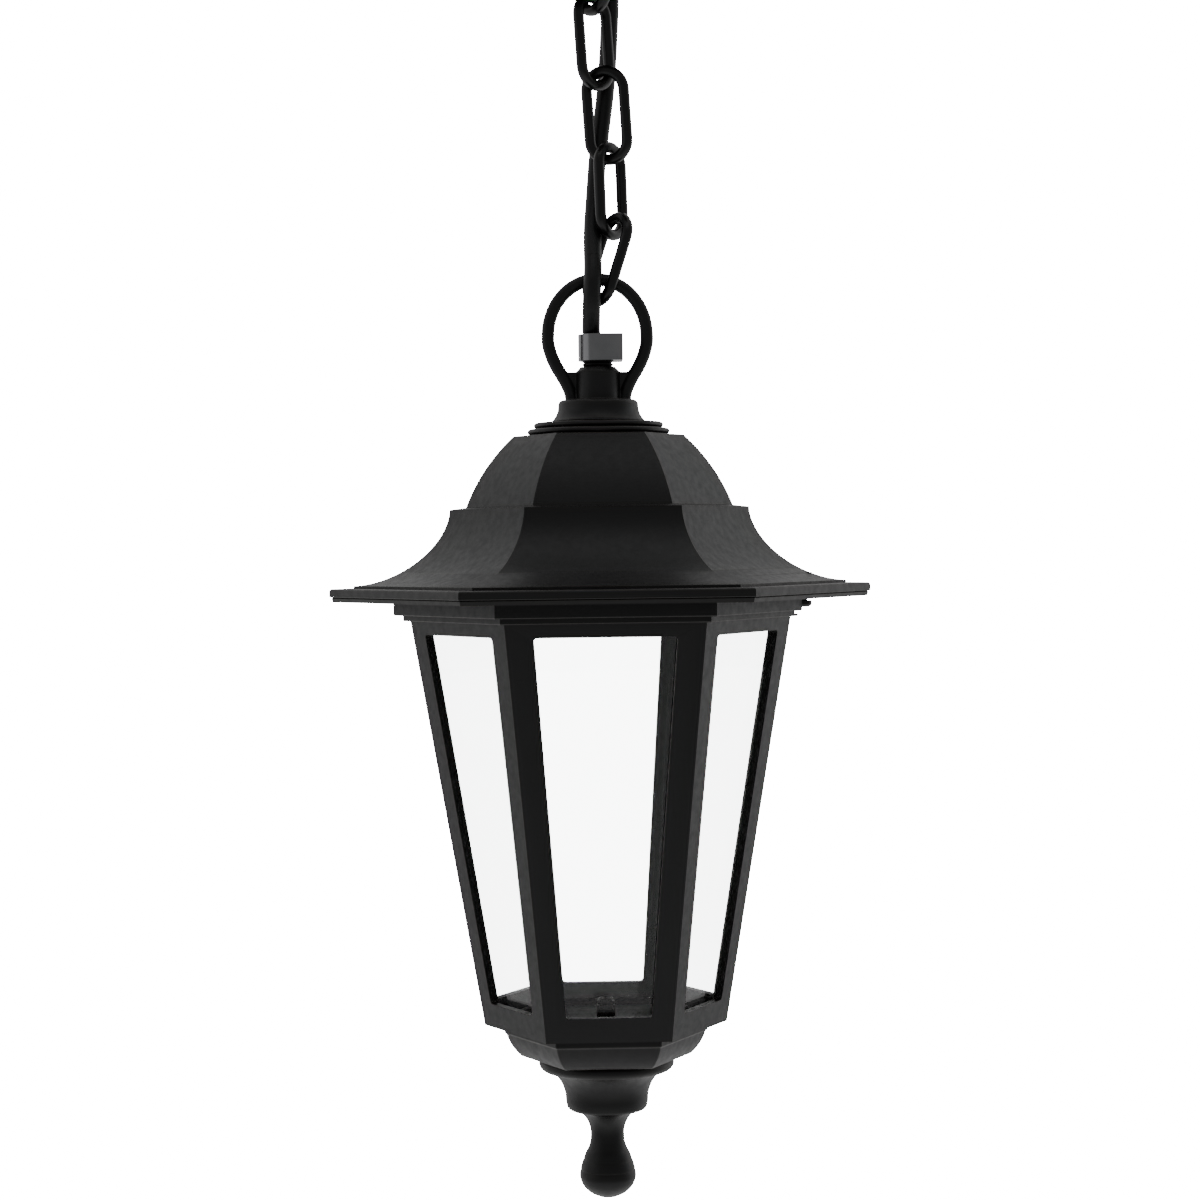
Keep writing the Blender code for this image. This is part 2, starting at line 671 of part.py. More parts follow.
def screw_corner(index):
    angle = math.radians(SCREW_CORNERS[index])
    return CAGE_SCREW_AT_R * math.cos(angle), CAGE_SCREW_AT_R * math.sin(angle)


def make_roof(pivot):
    roof = turned("roof", roof_outer() + roof_inner(), 6)
    bosses, drills = [], []
    for i in range(3):
        x, y = screw_corner(i)
        bosses.append(rod(f"roof_boss_{i}", CAGE_SCREW_R + ROOF_BOSS_WALL, (x, y, RIM_FOOT),
                          (x, y, ROOF_BOSS_TOP + 0.0014), 16))
        drills.append(rod(f"roof_drill_{i}", CAGE_SCREW_R + SEAT, (x, y, RIM_FOOT - 0.003),
                          (x, y, ROOF_BOSS_TOP), 16, CUTTERS))
    join(roof, bosses)
    return finish(cut(roof, drills), "black", pivot)


# ---------------------------------------------------------------- cage

def body_r(z):
    """Corner radius of the cage's outside at this height."""
    share = (LOWER_COLLAR_FOOT - z) / (LOWER_COLLAR_FOOT - BODY_FOOT)
    return BODY_TOP_R + (BODY_FOOT_R - BODY_TOP_R) * share


def inner_r(z):
    return body_r(z) - CAGE_WALL / COS30


def cage_profile():
    """Outline of the hollow body, with its floor, the panes' ledge and the screw's hole."""
    floor = BODY_FOOT + FLOOR_T
    ledge_out = inner_r(floor) - (PANE_T + 2 * SEAT + 0.0004) / COS30
    ledge_in = ledge_out - LEDGE_T / COS30
    hole = POST_R * 0.98  # inside the post, which closes it
    return [(hole, BODY_FOOT), (hole, floor), (ledge_in, floor), (ledge_in, floor + LEDGE_H),
            (ledge_out, floor + LEDGE_H), (ledge_out, floor), (inner_r(floor), floor),
            (inner_r(FLANGE_TOP), FLANGE_TOP), (FLANGE_R - 0.0003, FLANGE_TOP),
            (FLANGE_R, FLANGE_TOP - 0.0003), (FLANGE_R - 0.0004, FLANGE_FOOT),
            (COLLAR_R, FLANGE_FOOT), (COLLAR_R, COLLAR_FOOT + 0.0003),
            (COLLAR_R - 0.0003, COLLAR_FOOT), (LOWER_COLLAR_R, COLLAR_FOOT),
            (LOWER_COLLAR_R, LOWER_COLLAR_FOOT + 0.0003),
            (LOWER_COLLAR_R - 0.0003, LOWER_COLLAR_FOOT), (BODY_TOP_R, LOWER_COLLAR_FOOT),
            (BODY_FOOT_R, BODY_FOOT)]


def window_half(z):
    """Half the window's width at this height."""
    share = (WINDOW_TOP - z) / (WINDOW_TOP - WINDOW_FOOT)
    return body_r(z) / 2 - (POST_TOP_W + (POST_FOOT_W - POST_TOP_W) * share)


def rounded(corners, radius, count=3):
    """The outline with each corner replaced by an arc."""
    out = []
    for before, corner, after in zip(corners[-1:] + corners[:-1], corners, corners[1:] + corners[:1]):
        c, a, b = Vector(corner), Vector(before), Vector(after)
        ua, ub = (a - c).normalized(), (b - c).normalized()
        half = ua.angle(ub) / 2
        middle = c + (ua + ub).normalized() * radius / math.sin(half)
        start = c + ua * radius / math.tan(half) - middle
        end = c + ub * radius / math.tan(half) - middle
        for i in range(count + 1):
            spot = start.lerp(end, i / count).normalized() * radius + middle
            out.append((spot.x, spot.y))
    return out


def window_cutter(index):
    corners = [(window_half(WINDOW_TOP), WINDOW_TOP), (-window_half(WINDOW_TOP), WINDOW_TOP),
               (-window_half(WINDOW_FOOT), WINDOW_FOOT), (window_half(WINDOW_FOOT), WINDOW_FOOT)]
    cutter = plate(f"window_{index}", rounded(corners, WINDOW_ROUND), 0.020, 0.080, CUTTERS)
    stand = Matrix.Rotation(math.radians(90), 4, "X")
    turn = Matrix.Rotation(math.radians(60 * index), 4, "Z")
    cutter.data.transform(turn @ stand)
    return cutter


def make_cage(pivot):
    cage = turned("cage_frame", cage_profile(), 6)
    cage_windows = [window_cutter(i) for i in range(6)]
    cut(cage, cage_windows)
    ribs = []
    for i in range(6):
        outline = [(RIB_R, RIB_TOP), (body_r(RIB_TOP) - RIB_BITE, RIB_TOP),
                   (body_r(RIB_FOOT) - RIB_BITE, RIB_FOOT), (inner_r(RIB_FOOT) + 0.0002, RIB_FOOT)]
        rib = plate(f"rib_{i}", outline, -RIB_T / 2, RIB_T / 2)
        stand = Matrix.Rotation(math.radians(90), 4, "X")
        rib.data.transform(Matrix.Rotation(math.radians(60 * i), 4, "Z") @ stand)
        ribs.append(rib)
    post = turned("floor_post", [(STUD_R + SEAT, POST_TOP), (POST_R, POST_TOP),
                                 (POST_R, BODY_FOOT), (STUD_R + SEAT, BODY_FOOT)], 20)
    join(cage, ribs + [post])
    notches = []
    for i in range(3):
        x, y = screw_corner(i)
        notches.append(rod(f"notch_{i}", CAGE_SCREW_HEAD_R + SCREW_NOTCH,
                           (x, y, COLLAR_FOOT - 0.001), (x, y, SCREW_SEAT), 20, CUTTERS))
        notches.append(rod(f"screw_way_cage_{i}", CAGE_SCREW_R + SEAT, (x, y, -0.002),
                           (x, y, 0.004), 16, CUTTERS))
    return finish(cut(cage, notches), "black", pivot)


def make_panes(pivot):
    """Six flat panes that lean with the cage's faces, held by the ledge, ribs and spigot."""
    foot = BODY_FOOT + FLOOR_T + SEAT
    top = SPIGOT_FOOT + PANE_OVERLAP
    lean = math.atan2((body_r(top) - body_r(foot)) * COS30, top - foot)
    for i in range(6):
        outline = []
        for z, side in ((top, 1), (top, -1), (foot, -1), (foot, 1)):
            reach = z / math.cos(lean)
            outline.append((side * (window_half(z) + PANE_LAP), reach))
        pane = plate(f"glass_pane_{i + 1}", outline, -PANE_T / 2, PANE_T / 2)
        middle = (inner_r(0) * COS30) - (PANE_T / 2 + SEAT) / math.cos(lean)
        stand = Matrix.Rotation(math.radians(90), 4, "X")
        tip = Matrix.Rotation(lean, 4, "X")
        out = Matrix.Translation((0, -middle, 0))
        turn = Matrix.Rotation(math.radians(60 * i), 4, "Z")
        pane.data.transform(turn @ out @ tip @ stand)
        finish(pane, "glass", pivot)


def screw_solid(name, place, head_r, head_t, shank_r, length, up):
    """A round-headed screw. Its head's bearing face is at place; up is +1 if it points up."""
    x, y, z = place
    rounding = head_t * 0.45
    profile = [(0, z + up * length), (shank_r, z + up * length), (shank_r, z)]
    profile += [(head_r, z), (head_r, z - up * (head_t - rounding)),
                (head_r - rounding * 0.4, z - up * (head_t - rounding * 0.35)),
                (head_r - rounding, z - up * head_t), (0, z - up * head_t)]
    screw = turned(name, profile, 20)
    screw.data.transform(Matrix.Translation((x, y, 0)))
    deep = z - up * (head_t - 0.0008)
    far = z - up * (head_t + 0.001)
    low, high = min(deep, far), max(deep, far)
    arm, half = head_r * 0.6, 0.0004
    slots = [box(name + "_slot_a", (x - arm, y - half, low), (x + arm, y + half, high), CUTTERS),
             box(name + "_slot_b", (x - half, y - arm, low), (x + half, y + arm, high), CUTTERS)]
    return cut(screw, slots)


def make_cage_screws(pivot):
    for i in range(3):
        x, y = screw_corner(i)
        screw = screw_solid(f"cage_screw_{i + 1}", (x, y, SCREW_SEAT - SEAT), CAGE_SCREW_HEAD_R,
                            CAGE_SCREW_HEAD_T, CAGE_SCREW_R, CAGE_SCREW_L, 1)
        finish(screw, "black_steel", pivot)


def make_gasket(pivot):
    """A thin hexagonal seal on the cage's flange, outside the screws."""
    low = FLANGE_TOP + SEAT
    high = low + GASKET_T
    profile = [(GASKET_BORE_R, high), (GASKET_R, high), (GASKET_R, low), (GASKET_BORE_R, low)]
    return finish(turned("roof_gasket", profile, 6), "rubber", pivot)


# ---------------------------------------------------------------- cup and finial

def make_cup(pivot):
    """Hexagonal stepped cup under the body, hollow from above."""
    top = BODY_FOOT - SEAT
    foot = top - CUP_H
    outer = [(CUP_R, top)]
    outer += [(CUP_R, top - 0.0023)]
    outer += arc_between((CUP_R - 0.0006, top - 0.0026), (CUP_FOOT_R, foot), 0.0150, 6, -1)
    hole = STUD_R + SEAT
    inner = [(hole, foot), (hole, foot + CUP_WALL), (CUP_FOOT_R - CUP_WALL, foot + CUP_WALL),
             (CUP_R - CUP_WALL - 0.0012, top - 0.0030), (CUP_R - CUP_WALL - 0.0012, top)]
    return finish(turned("base_cup", outer + inner, 6), "black", pivot)


def finial_profile():
    """Turned outline: bead, groove, hollow neck, thin stem and ball."""
    z = FINIAL_TOP
    points = [(0, z)]
    points += arc_between((0.0204, z), (0.0199, z - 0.0037), 0.0022, 6, -1)
    points += arc_between((0.0178, z - 0.0039), (0.01295, z - 0.0132), 0.0115, 6, 1)
    points += arc_between((0.01265, z - 0.0151), (0.0113, z - 0.0164), 0.0016, 3, -1)
    points += arc_between((0.00875, z - 0.0170), (0.00527, z - 0.0246), 0.0090, 5, 1)
    ball = [(0.0054, 0.0265), (0.0070, 0.0303), (0.0083, 0.0340), (0.0088, 0.0365),
            (0.0087, 0.0382), (0.00775, 0.0404), (0.0056, 0.0425), (0.0029, 0.0438), (0, 0.0441)]
    return points + [(r, z - down) for r, down in ball]


def make_finial(pivot):
    finial = turned("finial", finial_profile(), 24)
    drill = rod("finial_drill", STUD_R + SEAT, (0, 0, FINIAL_TOP + 0.002),
                (0, 0, FINIAL_TOP - FINIAL_DRILL), 20, CUTTERS)
    finish(cut(finial, [drill]), "black", pivot)
    length = POST_TOP + SEAT - FINIAL_TOP + FINIAL_DRILL - 0.0010
    stud = screw_solid("finial_screw", (0, 0, POST_TOP + SEAT), STUD_HEAD_R, STUD_HEAD_T,
                       STUD_R, length, -1)
    finish(stud, "black_steel", pivot)


# ---------------------------------------------------------------- lampholder

def make_holder(pivot):
    bore = THREAD_R + TUBE_FIT
    r, w, top, foot = HOLDER_R, HOLDER_WALL, HOLDER_TOP, HOLDER_FOOT
    split = top - HOLDER_CAP_H
    cap = [(bore, top), (bore + 0.0022, top), (bore + 0.0022, top - 0.004)]
    cap += arc_between((0.0100, top - 0.0045), (r, top - 0.0150), 0.0125, 5, -1)
    cap += [(r, split), (r - w, split), (r - w, top - 0.0150)]
    cap += reversed(arc_between((0.0092, top - 0.0065), (r - w, top - 0.0150), 0.0110, 4, -1))
    cap += [(bore, top - 0.0065)]
    finish(turned("holder_cap", cap, 24), "holder", pivot)

    shell_top = split - SEAT
    insert_r = r - w - SEAT
    insert_top = shell_top - 0.0010
    insert_foot = insert_top - INSERT_T
    ledge = r - w - 0.0012
    body = [(r, shell_top), (r, foot), (SOCKET_R, foot), (SOCKET_R, insert_foot - 0.004),
            (ledge, insert_foot - 0.004), (ledge, insert_foot - SEAT),
            (r - w, insert_foot - SEAT), (r - w, shell_top)]
    finish(turned("holder_body", body, 24), "holder", pivot)
    insert = turned("holder_insert", [(0, insert_top), (insert_r, insert_top),
                                      (insert_r, insert_foot), (0, insert_foot)], 24)
    slot = box("contact_slot", (-0.0062, -0.0025, insert_foot - 0.001),
               (0.0062, 0.0025, insert_foot + 0.0015), CUTTERS)
    side_slot = box("side_contact_slot", (0.0085, -0.0026, insert_foot - 0.001),
                    (0.0116, 0.0026, insert_foot + 0.0015), CUTTERS)
    finish(cut(insert, [slot, side_slot]), "ceramic", pivot)

    z = insert_foot
    tongue = [(-0.0055, z + 0.0012), (0.0055, z + 0.0012), (0.0055, z + 0.0004),
              (0.0034, z + 0.0004), (0.0020, z - 0.0022), (-0.0020, z - 0.0022),
              (-0.0028, z - 0.0014), (0.0014, z - 0.0014), (0.0024, z + 0.0004),
              (-0.0055, z + 0.0004)]
    centre = plate("centre_contact", tongue, -0.0020, 0.0020)
    centre.data.transform(Matrix.Rotation(math.radians(90), 4, "X"))
    finish(centre, "brass", pivot)
    blade = [(0.0088, z + 0.0012), (0.0113, z + 0.0012), (0.0113, z + 0.0004),
             (0.0103, z + 0.0004), (0.0109, z - 0.0034), (0.0103, z - 0.0034),
             (0.0095, z + 0.0004), (0.0088, z + 0.0004)]
    side = plate("side_contact", blade, -0.0020, 0.0020)
    side.data.transform(Matrix.Rotation(math.radians(90), 4, "X"))
    finish(side, "brass", pivot)

    ring_foot = foot + 0.0050
    ring = [(r + SEAT, ring_foot + RING_H), (r + RING_T, ring_foot + RING_H),
            (r + RING_T, ring_foot), (r + SEAT, ring_foot)]
    finish(turned("holder_ring", ring, 24), "holder", pivot)


def make_tube_fixings(pivot):
    underside = DOME_TOP - WALL
    washer_foot = underside - SEAT - WASHER_T
    washer = [(THREAD_R + TUBE_FIT, underside - SEAT), (WASHER_R, underside - SEAT),
              (WASHER_R, washer_foot), (THREAD_R + TUBE_FIT, washer_foot)]
    finish(turned("lock_washer", washer, 28), "steel", pivot)
    high = washer_foot - SEAT
    bore = THREAD_R + TUBE_FIT
    make_nut("lock_nut", 2 * (bore + LOCK_NUT_WALL), bore, high - LOCK_NUT_T, high,
             "steel", pivot, RIM_Z)


# ---------------------------------------------------------------- cable

def make_cable():
    points = smooth_route(CABLE_ROUTE, 0.0060)
    cable = wire("supply_cable", points, CABLE_D)
    finish(cable, "cable")


# ---------------------------------------------------------------- whole lantern

def main():
    hook_pivot = make_pivot("hook_pivot", (0, 0, HOOK_SEAT_Z))
    pivots = [hook_pivot]
    pivots += [make_pivot(entry[0] + "_pivot", link_seat(i)) for i, entry in enumerate(LINKS)]
    lantern = pivots[-1]
    cage_slide = make_pivot("cage_slide", (0, 0, RIM_Z))
    make_hook()
    make_rose()
    make_links(pivots[:-1])
    make_cable()
    make_hanger(lantern)
    upper_low = CAP_FOOT - SEAT - DISC_T - 0.0001
    make_disc("upper_disc", UPPER_DISC_R, upper_low, lantern)
    make_disc("lower_disc", LOWER_DISC_R, upper_low - SEAT - DISC_T, lantern)
    make_tube_and_grip(lantern)
    make_tube_fixings(lantern)
    make_roof(lantern)
    make_gasket(lantern)
    make_holder(lantern)
    make_cage(cage_slide)
    make_panes(cage_slide)
    make_cage_screws(cage_slide)
    make_cup(cage_slide)
    make_finial(cage_slide)


clear_scene()
PARTS = new_collection(COLLECTION)
CUTTERS = new_collection("cutters", hidden=True)
main()
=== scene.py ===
"""Looks of the hanging lantern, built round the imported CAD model. Metres, +Z up."""

import json
import math

import bmesh
import bpy
from mathutils import Matrix, Vector


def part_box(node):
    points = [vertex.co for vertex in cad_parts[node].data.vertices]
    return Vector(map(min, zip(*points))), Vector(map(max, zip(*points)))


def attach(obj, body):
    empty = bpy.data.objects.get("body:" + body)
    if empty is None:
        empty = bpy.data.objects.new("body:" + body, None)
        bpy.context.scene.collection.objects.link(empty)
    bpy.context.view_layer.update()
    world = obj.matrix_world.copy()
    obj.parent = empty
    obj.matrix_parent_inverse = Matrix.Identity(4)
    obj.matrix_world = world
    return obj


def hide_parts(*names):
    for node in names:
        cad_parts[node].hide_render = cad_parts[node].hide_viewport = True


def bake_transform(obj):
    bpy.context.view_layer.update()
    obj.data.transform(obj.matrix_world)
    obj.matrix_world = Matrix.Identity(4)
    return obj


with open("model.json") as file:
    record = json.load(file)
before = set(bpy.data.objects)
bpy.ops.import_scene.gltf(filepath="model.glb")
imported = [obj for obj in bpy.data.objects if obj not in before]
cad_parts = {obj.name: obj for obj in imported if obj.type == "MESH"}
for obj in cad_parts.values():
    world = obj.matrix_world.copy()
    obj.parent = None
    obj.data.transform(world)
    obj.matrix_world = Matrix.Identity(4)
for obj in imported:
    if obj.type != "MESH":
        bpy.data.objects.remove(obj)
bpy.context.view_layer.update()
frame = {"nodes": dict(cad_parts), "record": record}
NODES = frame["nodes"]

# The rim level, from which the lantern's heights are given
FLANGE_TOP = 0.0019
RIM_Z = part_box("cage_frame")[1][2] - FLANGE_TOP

# Sizes shared with the CAD model
THREAD_R = 0.0049
THREAD_PITCH = 0.0010
THREAD_DEPTH = 0.00055
TUBE_BORE_R = 0.0040
LINK_WIRE = 0.0035
LINK_LENGTH = 0.0312
LINK_WIDTH = 0.0157
HOOK_WIRE = 0.0036
HOOK_EYE_R = 0.0061
HOOK_SEAT_Z = -0.0469
HOOK_TURN = -50
ROSE_WALL = 0.0014
CABLE_HOLE_R = 0.0038
CABLE_D = 0.0056
LOOP_WIRE = 0.0041
LOOP_HALF = 0.0155
LOOP_RISE = 0.0176
LOOP_Z = 0.0830
CAP_TOP = 0.0628
CAP_FOOT = 0.0561
CAP_R = 0.0148
CAP_NECK_R = 0.0126
CAP_BOW_R = 0.0065
CAP_ROUND = 0.0015
CAP_HOLLOW_R = 0.0108
CAP_SKIN = 0.0020
BOSS_R = 0.0068
BOSS_TOP = 0.0733
BOSS_CHAMFER = 0.0015
WEB_TOP = 0.0716
WEB_T = 0.0022
GRIP_FOOT = 0.0750
GRIP_H = 0.0083
GRIP_R = 0.0061
GRIP_REACH = 0.0078
GRIP_SCREW_Z = 0.0061
GRIP_SCREW_R = 0.0018
FIT = 0.0003

# Each link: its node, body, middle (height from the rim level), turn and two leans in degrees
LINKS = (
    ("chain_link_1", "link_1", (0.0001, 0.0000, 0.1753), 44, -3.3, 0),
    ("chain_link_2", "link_2", (0.0039, 0.0016, 0.1524), -19, -3.5, -5.3),
    ("chain_link_3", "link_3", (0.0049, 0.0028, 0.1287), 54, -1.6, 0),
    ("chain_link_4", "link_4", (0.0035, 0.0008, 0.1069), -55, 17.8, 0),
)

# The cable's route, heights from the rim level, as in the CAD model
CABLE_ROUTE = (
    (0.0057, 0.0086, 0.2120), (0.0057, 0.0086, 0.2040), (0.0057, 0.0086, 0.1960),
    (0.0056, 0.0089, 0.1883), (0.0052, 0.0091, 0.1800), (0.0047, 0.0094, 0.1720),
    (0.0041, 0.0096, 0.1640), (0.0033, 0.0097, 0.1570), (0.0024, 0.0097, 0.1505),
    (0.0016, 0.0094, 0.1444), (0.0008, 0.0088, 0.1380), (0.0002, 0.0075, 0.1310),
    (-0.0004, 0.0055, 0.1240), (-0.0010, 0.0026, 0.1170), (-0.0012, -0.0013, 0.1100),
    (-0.0012, -0.0044, 0.1040), (-0.0015, -0.0061, 0.0985), (-0.0018, -0.0056, 0.0930),
    (-0.0019, -0.0032, 0.0880), (-0.0019, -0.0007, 0.0840), (-0.0012, -0.0001, 0.0805),
    (-0.0006, 0.0000, 0.0765), (0.0000, 0.0000, 0.0700), (0.0000, 0.0000, 0.0560),
    (0.0000, 0.0000, 0.0420), (0.0000, 0.0000, 0.0350),
)


# ---------------------------------------------------------------- camera

CAMERA_LENS = 77.15
CAMERA_DISTANCE = 0.807
CAMERA_ABOVE_RIM = 0.0173
CAMERA_TURN = -1.5
CAMERA_ROLL = -0.733
CAMERA_SHIFT = -0.0458


def make_camera():
    data = bpy.data.cameras.new("camera")
    data.lens = CAMERA_LENS
    data.sensor_width = 36
    data.shift_y = CAMERA_SHIFT
    data.clip_start = 0.01
    camera = bpy.data.objects.new("camera", data)
    bpy.context.scene.collection.objects.link(camera)
    turn = math.radians(CAMERA_TURN)
    camera.location = (CAMERA_DISTANCE * math.sin(turn), -CAMERA_DISTANCE * math.cos(turn),
                       RIM_Z + CAMERA_ABOVE_RIM)
    level = Matrix.Rotation(turn, 4, "Z") @ Matrix.Rotation(math.radians(90), 4, "X")
    roll = Matrix.Rotation(math.radians(CAMERA_ROLL), 4, "Z")
    camera.rotation_euler = (level @ roll).to_euler()
    bpy.context.scene.camera = camera


# ---------------------------------------------------------------- materials

class Nodes:
    """A material's node tree with short calls to add nodes and join sockets."""

    def __init__(self, name):
        self.material = bpy.data.materials.new(name)
        self.material.use_nodes = True
        self.tree = self.material.node_tree
        self.shader = self.tree.nodes["Principled BSDF"]

    def set(self, **values):
        for key, value in values.items():
            self.shader.inputs[key.replace("_", " ")].default_value = value

    def add(self, kind, **values):
        node = self.tree.nodes.new(kind)
        for key, value in values.items():
            if key in node.inputs:
                node.inputs[key].default_value = value
            else:
                setattr(node, key, value)
        return node

    def join(self, source, target):
        self.tree.links.new(source, target)

    def place(self):
        return self.add("ShaderNodeTexCoord").outputs["Object"]

    def noise(self, scale, detail=3.0, roughness=0.5, vector=None):
        node = self.add("ShaderNodeTexNoise", Scale=scale, Detail=detail, Roughness=roughness)
        self.join(vector or self.place(), node.inputs["Vector"])
        return node.outputs["Fac"]

    def span(self, source, low, high, new_low, new_high):
        node = self.add("ShaderNodeMapRange")
        self.join(source, node.inputs["Value"])
        for key, value in (("From Min", low), ("From Max", high), ("To Min", new_low),
                           ("To Max", new_high)):
            node.inputs[key].default_value = value
        return node.outputs["Result"]

    def blend(self, factor, first, second):
        node = self.add("ShaderNodeMix", data_type="RGBA")
        self.join(factor, node.inputs["Factor"])
        for socket, colour in ((node.inputs["A"], first), (node.inputs["B"], second)):
            if isinstance(colour, tuple):
                socket.default_value = (*colour, 1)
            else:
                self.join(colour, socket)
        return node.outputs["Result"]

    def bump(self, height, distance, strength=1.0, normal=None):
        node = self.add("ShaderNodeBump", Distance=distance, Strength=strength)
        self.join(height, node.inputs["Height"])
        if normal is not None:
            self.join(normal, node.inputs["Normal"])
        return node.outputs["Normal"]


def powder_coat(name, base, lighter, rough_low, rough_high, grain=0.00003):
    """Satin black coat: fine grain, slow colour drift, and a painted highlight that lightens the convex
    edges.
    """
    mat = Nodes(name)
    drift = mat.noise(45, 4, 0.6)
    fine = mat.noise(2600, 2, 0.6)
    soft = mat.noise(420, 3, 0.5)
    colour = mat.blend(mat.span(drift, 0.35, 0.7, 0, 1), base, lighter)
    # Painted highlight: convex edges, found by pointiness, are lightened as if they caught the light
    edge = mat.add("ShaderNodeNewGeometry").outputs["Pointiness"]
    painted_edge_highlight = mat.span(edge, 0.53, 0.62, 0, 0.35)
    colour = mat.blend(painted_edge_highlight, colour, tuple(c * 2.6 for c in lighter))
    mat.join(colour, mat.shader.inputs["Base Color"])
    mat.join(mat.span(soft, 0.3, 0.7, rough_low, rough_high), mat.shader.inputs["Roughness"])
    normal = mat.bump(fine, grain)
    normal = mat.bump(soft, grain * 0.5, 0.6, normal)
    mat.join(normal, mat.shader.inputs["Normal"])
    mat.set(Specular_IOR_Level=0.5)
    return mat.material


def plated(name, base, darker, rough_low, rough_high, brush_axis=None):
    """Bare or plated metal with fine scratches and dull patches."""
    mat = Nodes(name)
    mat.set(Metallic=1.0)
    place = mat.place()
    if brush_axis is not None:
        stretch = mat.add("ShaderNodeMapping")
        mat.join(place, stretch.inputs["Vector"])
        stretch.inputs["Scale"].default_value = brush_axis
        place = stretch.outputs["Vector"]
    scratches = mat.noise(900, 4, 0.7, place)
    patches = mat.noise(120, 3, 0.5)
    mat.join(mat.blend(mat.span(patches, 0.35, 0.7, 0, 1), base, darker),
             mat.shader.inputs["Base Color"])
    mat.join(mat.span(patches, 0.3, 0.7, rough_low, rough_high), mat.shader.inputs["Roughness"])
    mat.join(mat.bump(scratches, 0.00001, 0.7), mat.shader.inputs["Normal"])
    return mat.material


def sheath(name, base, lighter, rough):
    """Extruded PVC, rubber or moulded plastic: matt, with a fine grain and a little dust."""
    mat = Nodes(name)
    dust = mat.noise(300, 4, 0.6)
    fine = mat.noise(1800, 2, 0.5)
    mat.join(mat.blend(mat.span(dust, 0.4, 0.75, 0, 1), base, lighter),
             mat.shader.inputs["Base Color"])
    mat.join(mat.span(dust, 0.3, 0.7, rough, rough + 0.12), mat.shader.inputs["Roughness"])
    mat.join(mat.bump(fine, 0.00003), mat.shader.inputs["Normal"])
    return mat.material


def clear_glass(name):
    """Clear sheet glass with a faint, slightly green film on it."""
    mat = Nodes(name)
    mat.set(Transmission_Weight=1.0, IOR=1.5)
    film = mat.noise(60, 4, 0.6)
    mat.join(mat.blend(mat.span(film, 0.4, 0.8, 0, 1), (0.99, 1.0, 0.995), (0.965, 0.98, 0.975)),
             mat.shader.inputs["Base Color"])
    mat.join(mat.span(film, 0.45, 0.8, 0.012, 0.03), mat.shader.inputs["Roughness"])
    return mat.material


def porcelain(name):
    """White glazed ceramic with a few darker specks and a slow ripple."""
    mat = Nodes(name)
    speck = mat.noise(500, 3, 0.6)
    mat.join(mat.blend(mat.span(speck, 0.55, 0.75, 0, 0.5), (0.82, 0.81, 0.77), (0.66, 0.64, 0.60)),
             mat.shader.inputs["Base Color"])
    mat.join(mat.span(speck, 0.3, 0.7, 0.18, 0.32), mat.shader.inputs["Roughness"])
    mat.join(mat.bump(mat.noise(90), 0.00005), mat.shader.inputs["Normal"])
    return mat.material


def make_materials():
    return {
        "black_paint": powder_coat("satin_black_coat", (0.0045, 0.0045, 0.0047),
                                   (0.0065, 0.0065, 0.0067), 0.40, 0.50),
        "black_steel": powder_coat("gloss_black_coat", (0.0045, 0.0045, 0.0047),
                                   (0.0075, 0.0075, 0.0077), 0.26, 0.36, 0.000012),
        "gunmetal": plated("blackened_metal", (0.36, 0.36, 0.37), (0.29, 0.29, 0.30), 0.18, 0.27,
                           (1, 1, 0.12)),
        "cable_sheath": sheath("black_pvc", (0.0045, 0.0045, 0.0047), (0.008, 0.008, 0.0082), 0.38),
        "zinc_steel": plated("zinc_plate", (0.60, 0.60, 0.62), (0.46, 0.47, 0.50), 0.24, 0.40),
        "brass": plated("plain_brass", (0.72, 0.55, 0.27), (0.55, 0.40, 0.19), 0.22, 0.38),
        "holder_plastic": sheath("holder_black", (0.020, 0.020, 0.021), (0.03, 0.03, 0.031), 0.34),
        "porcelain": porcelain("white_porcelain"),
        "seal": sheath("seal_rubber", (0.022, 0.022, 0.022), (0.035, 0.034, 0.033), 0.62),
        "pane": clear_glass("clear_pane"),
    }


# ---------------------------------------------------------------- mesh tools

SAME_PLACE = 0.000004
FLAT_ANGLE = math.radians(0.6)


def new_object(name, mesh):
    thing = bpy.data.objects.new(name, mesh)
    bpy.context.scene.collection.objects.link(thing)
    return thing


def bake(thing):
    """The object's mesh becomes what its modifiers make, and they go."""
    bpy.context.view_layer.update()
    graph = bpy.context.evaluated_depsgraph_get()
    mesh = bpy.data.meshes.new_from_object(thing.evaluated_get(graph))
    thing.modifiers.clear()
    thing.data = mesh
    return thing


def smooth(thing, angle=32):
    """Smooth shading that breaks at edges sharper than the angle."""
    thing.data.shade_smooth()
    thing.data.set_sharp_from_angle(angle=math.radians(angle))
    return thing


def arc(centre, radius, start, end, count):
    """Points on a circle between two angles in degrees."""
    points = []
    for i in range(count + 1):
        angle = math.radians(start + (end - start) * i / count)
        points.append((centre[0] + radius * math.cos(angle), centre[1] + radius * math.sin(angle)))
    return points


def arc_between(start, end, radius, count, side=1):
    """Points on an arc of this radius from start to end, bowed to one side of the chord."""
    (x0, y0), (x1, y1) = start, end
    half = math.hypot(x1 - x0, y1 - y0) / 2
    drop = math.sqrt(radius * radius - half * half)
    nx, ny = (y1 - y0) / (2 * half), -(x1 - x0) / (2 * half)
    cx, cy = (x0 + x1) / 2 - side * nx * drop, (y0 + y1) / 2 - side * ny * drop
    a0 = math.atan2(y0 - cy, x0 - cx)
    a1 = math.atan2(y1 - cy, x1 - cx)
    turn = (a1 - a0 + math.pi) % (2 * math.pi) - math.pi
    return [(cx + radius * math.cos(a0 + turn * i / count),
             cy + radius * math.sin(a0 + turn * i / count)) for i in range(count + 1)]


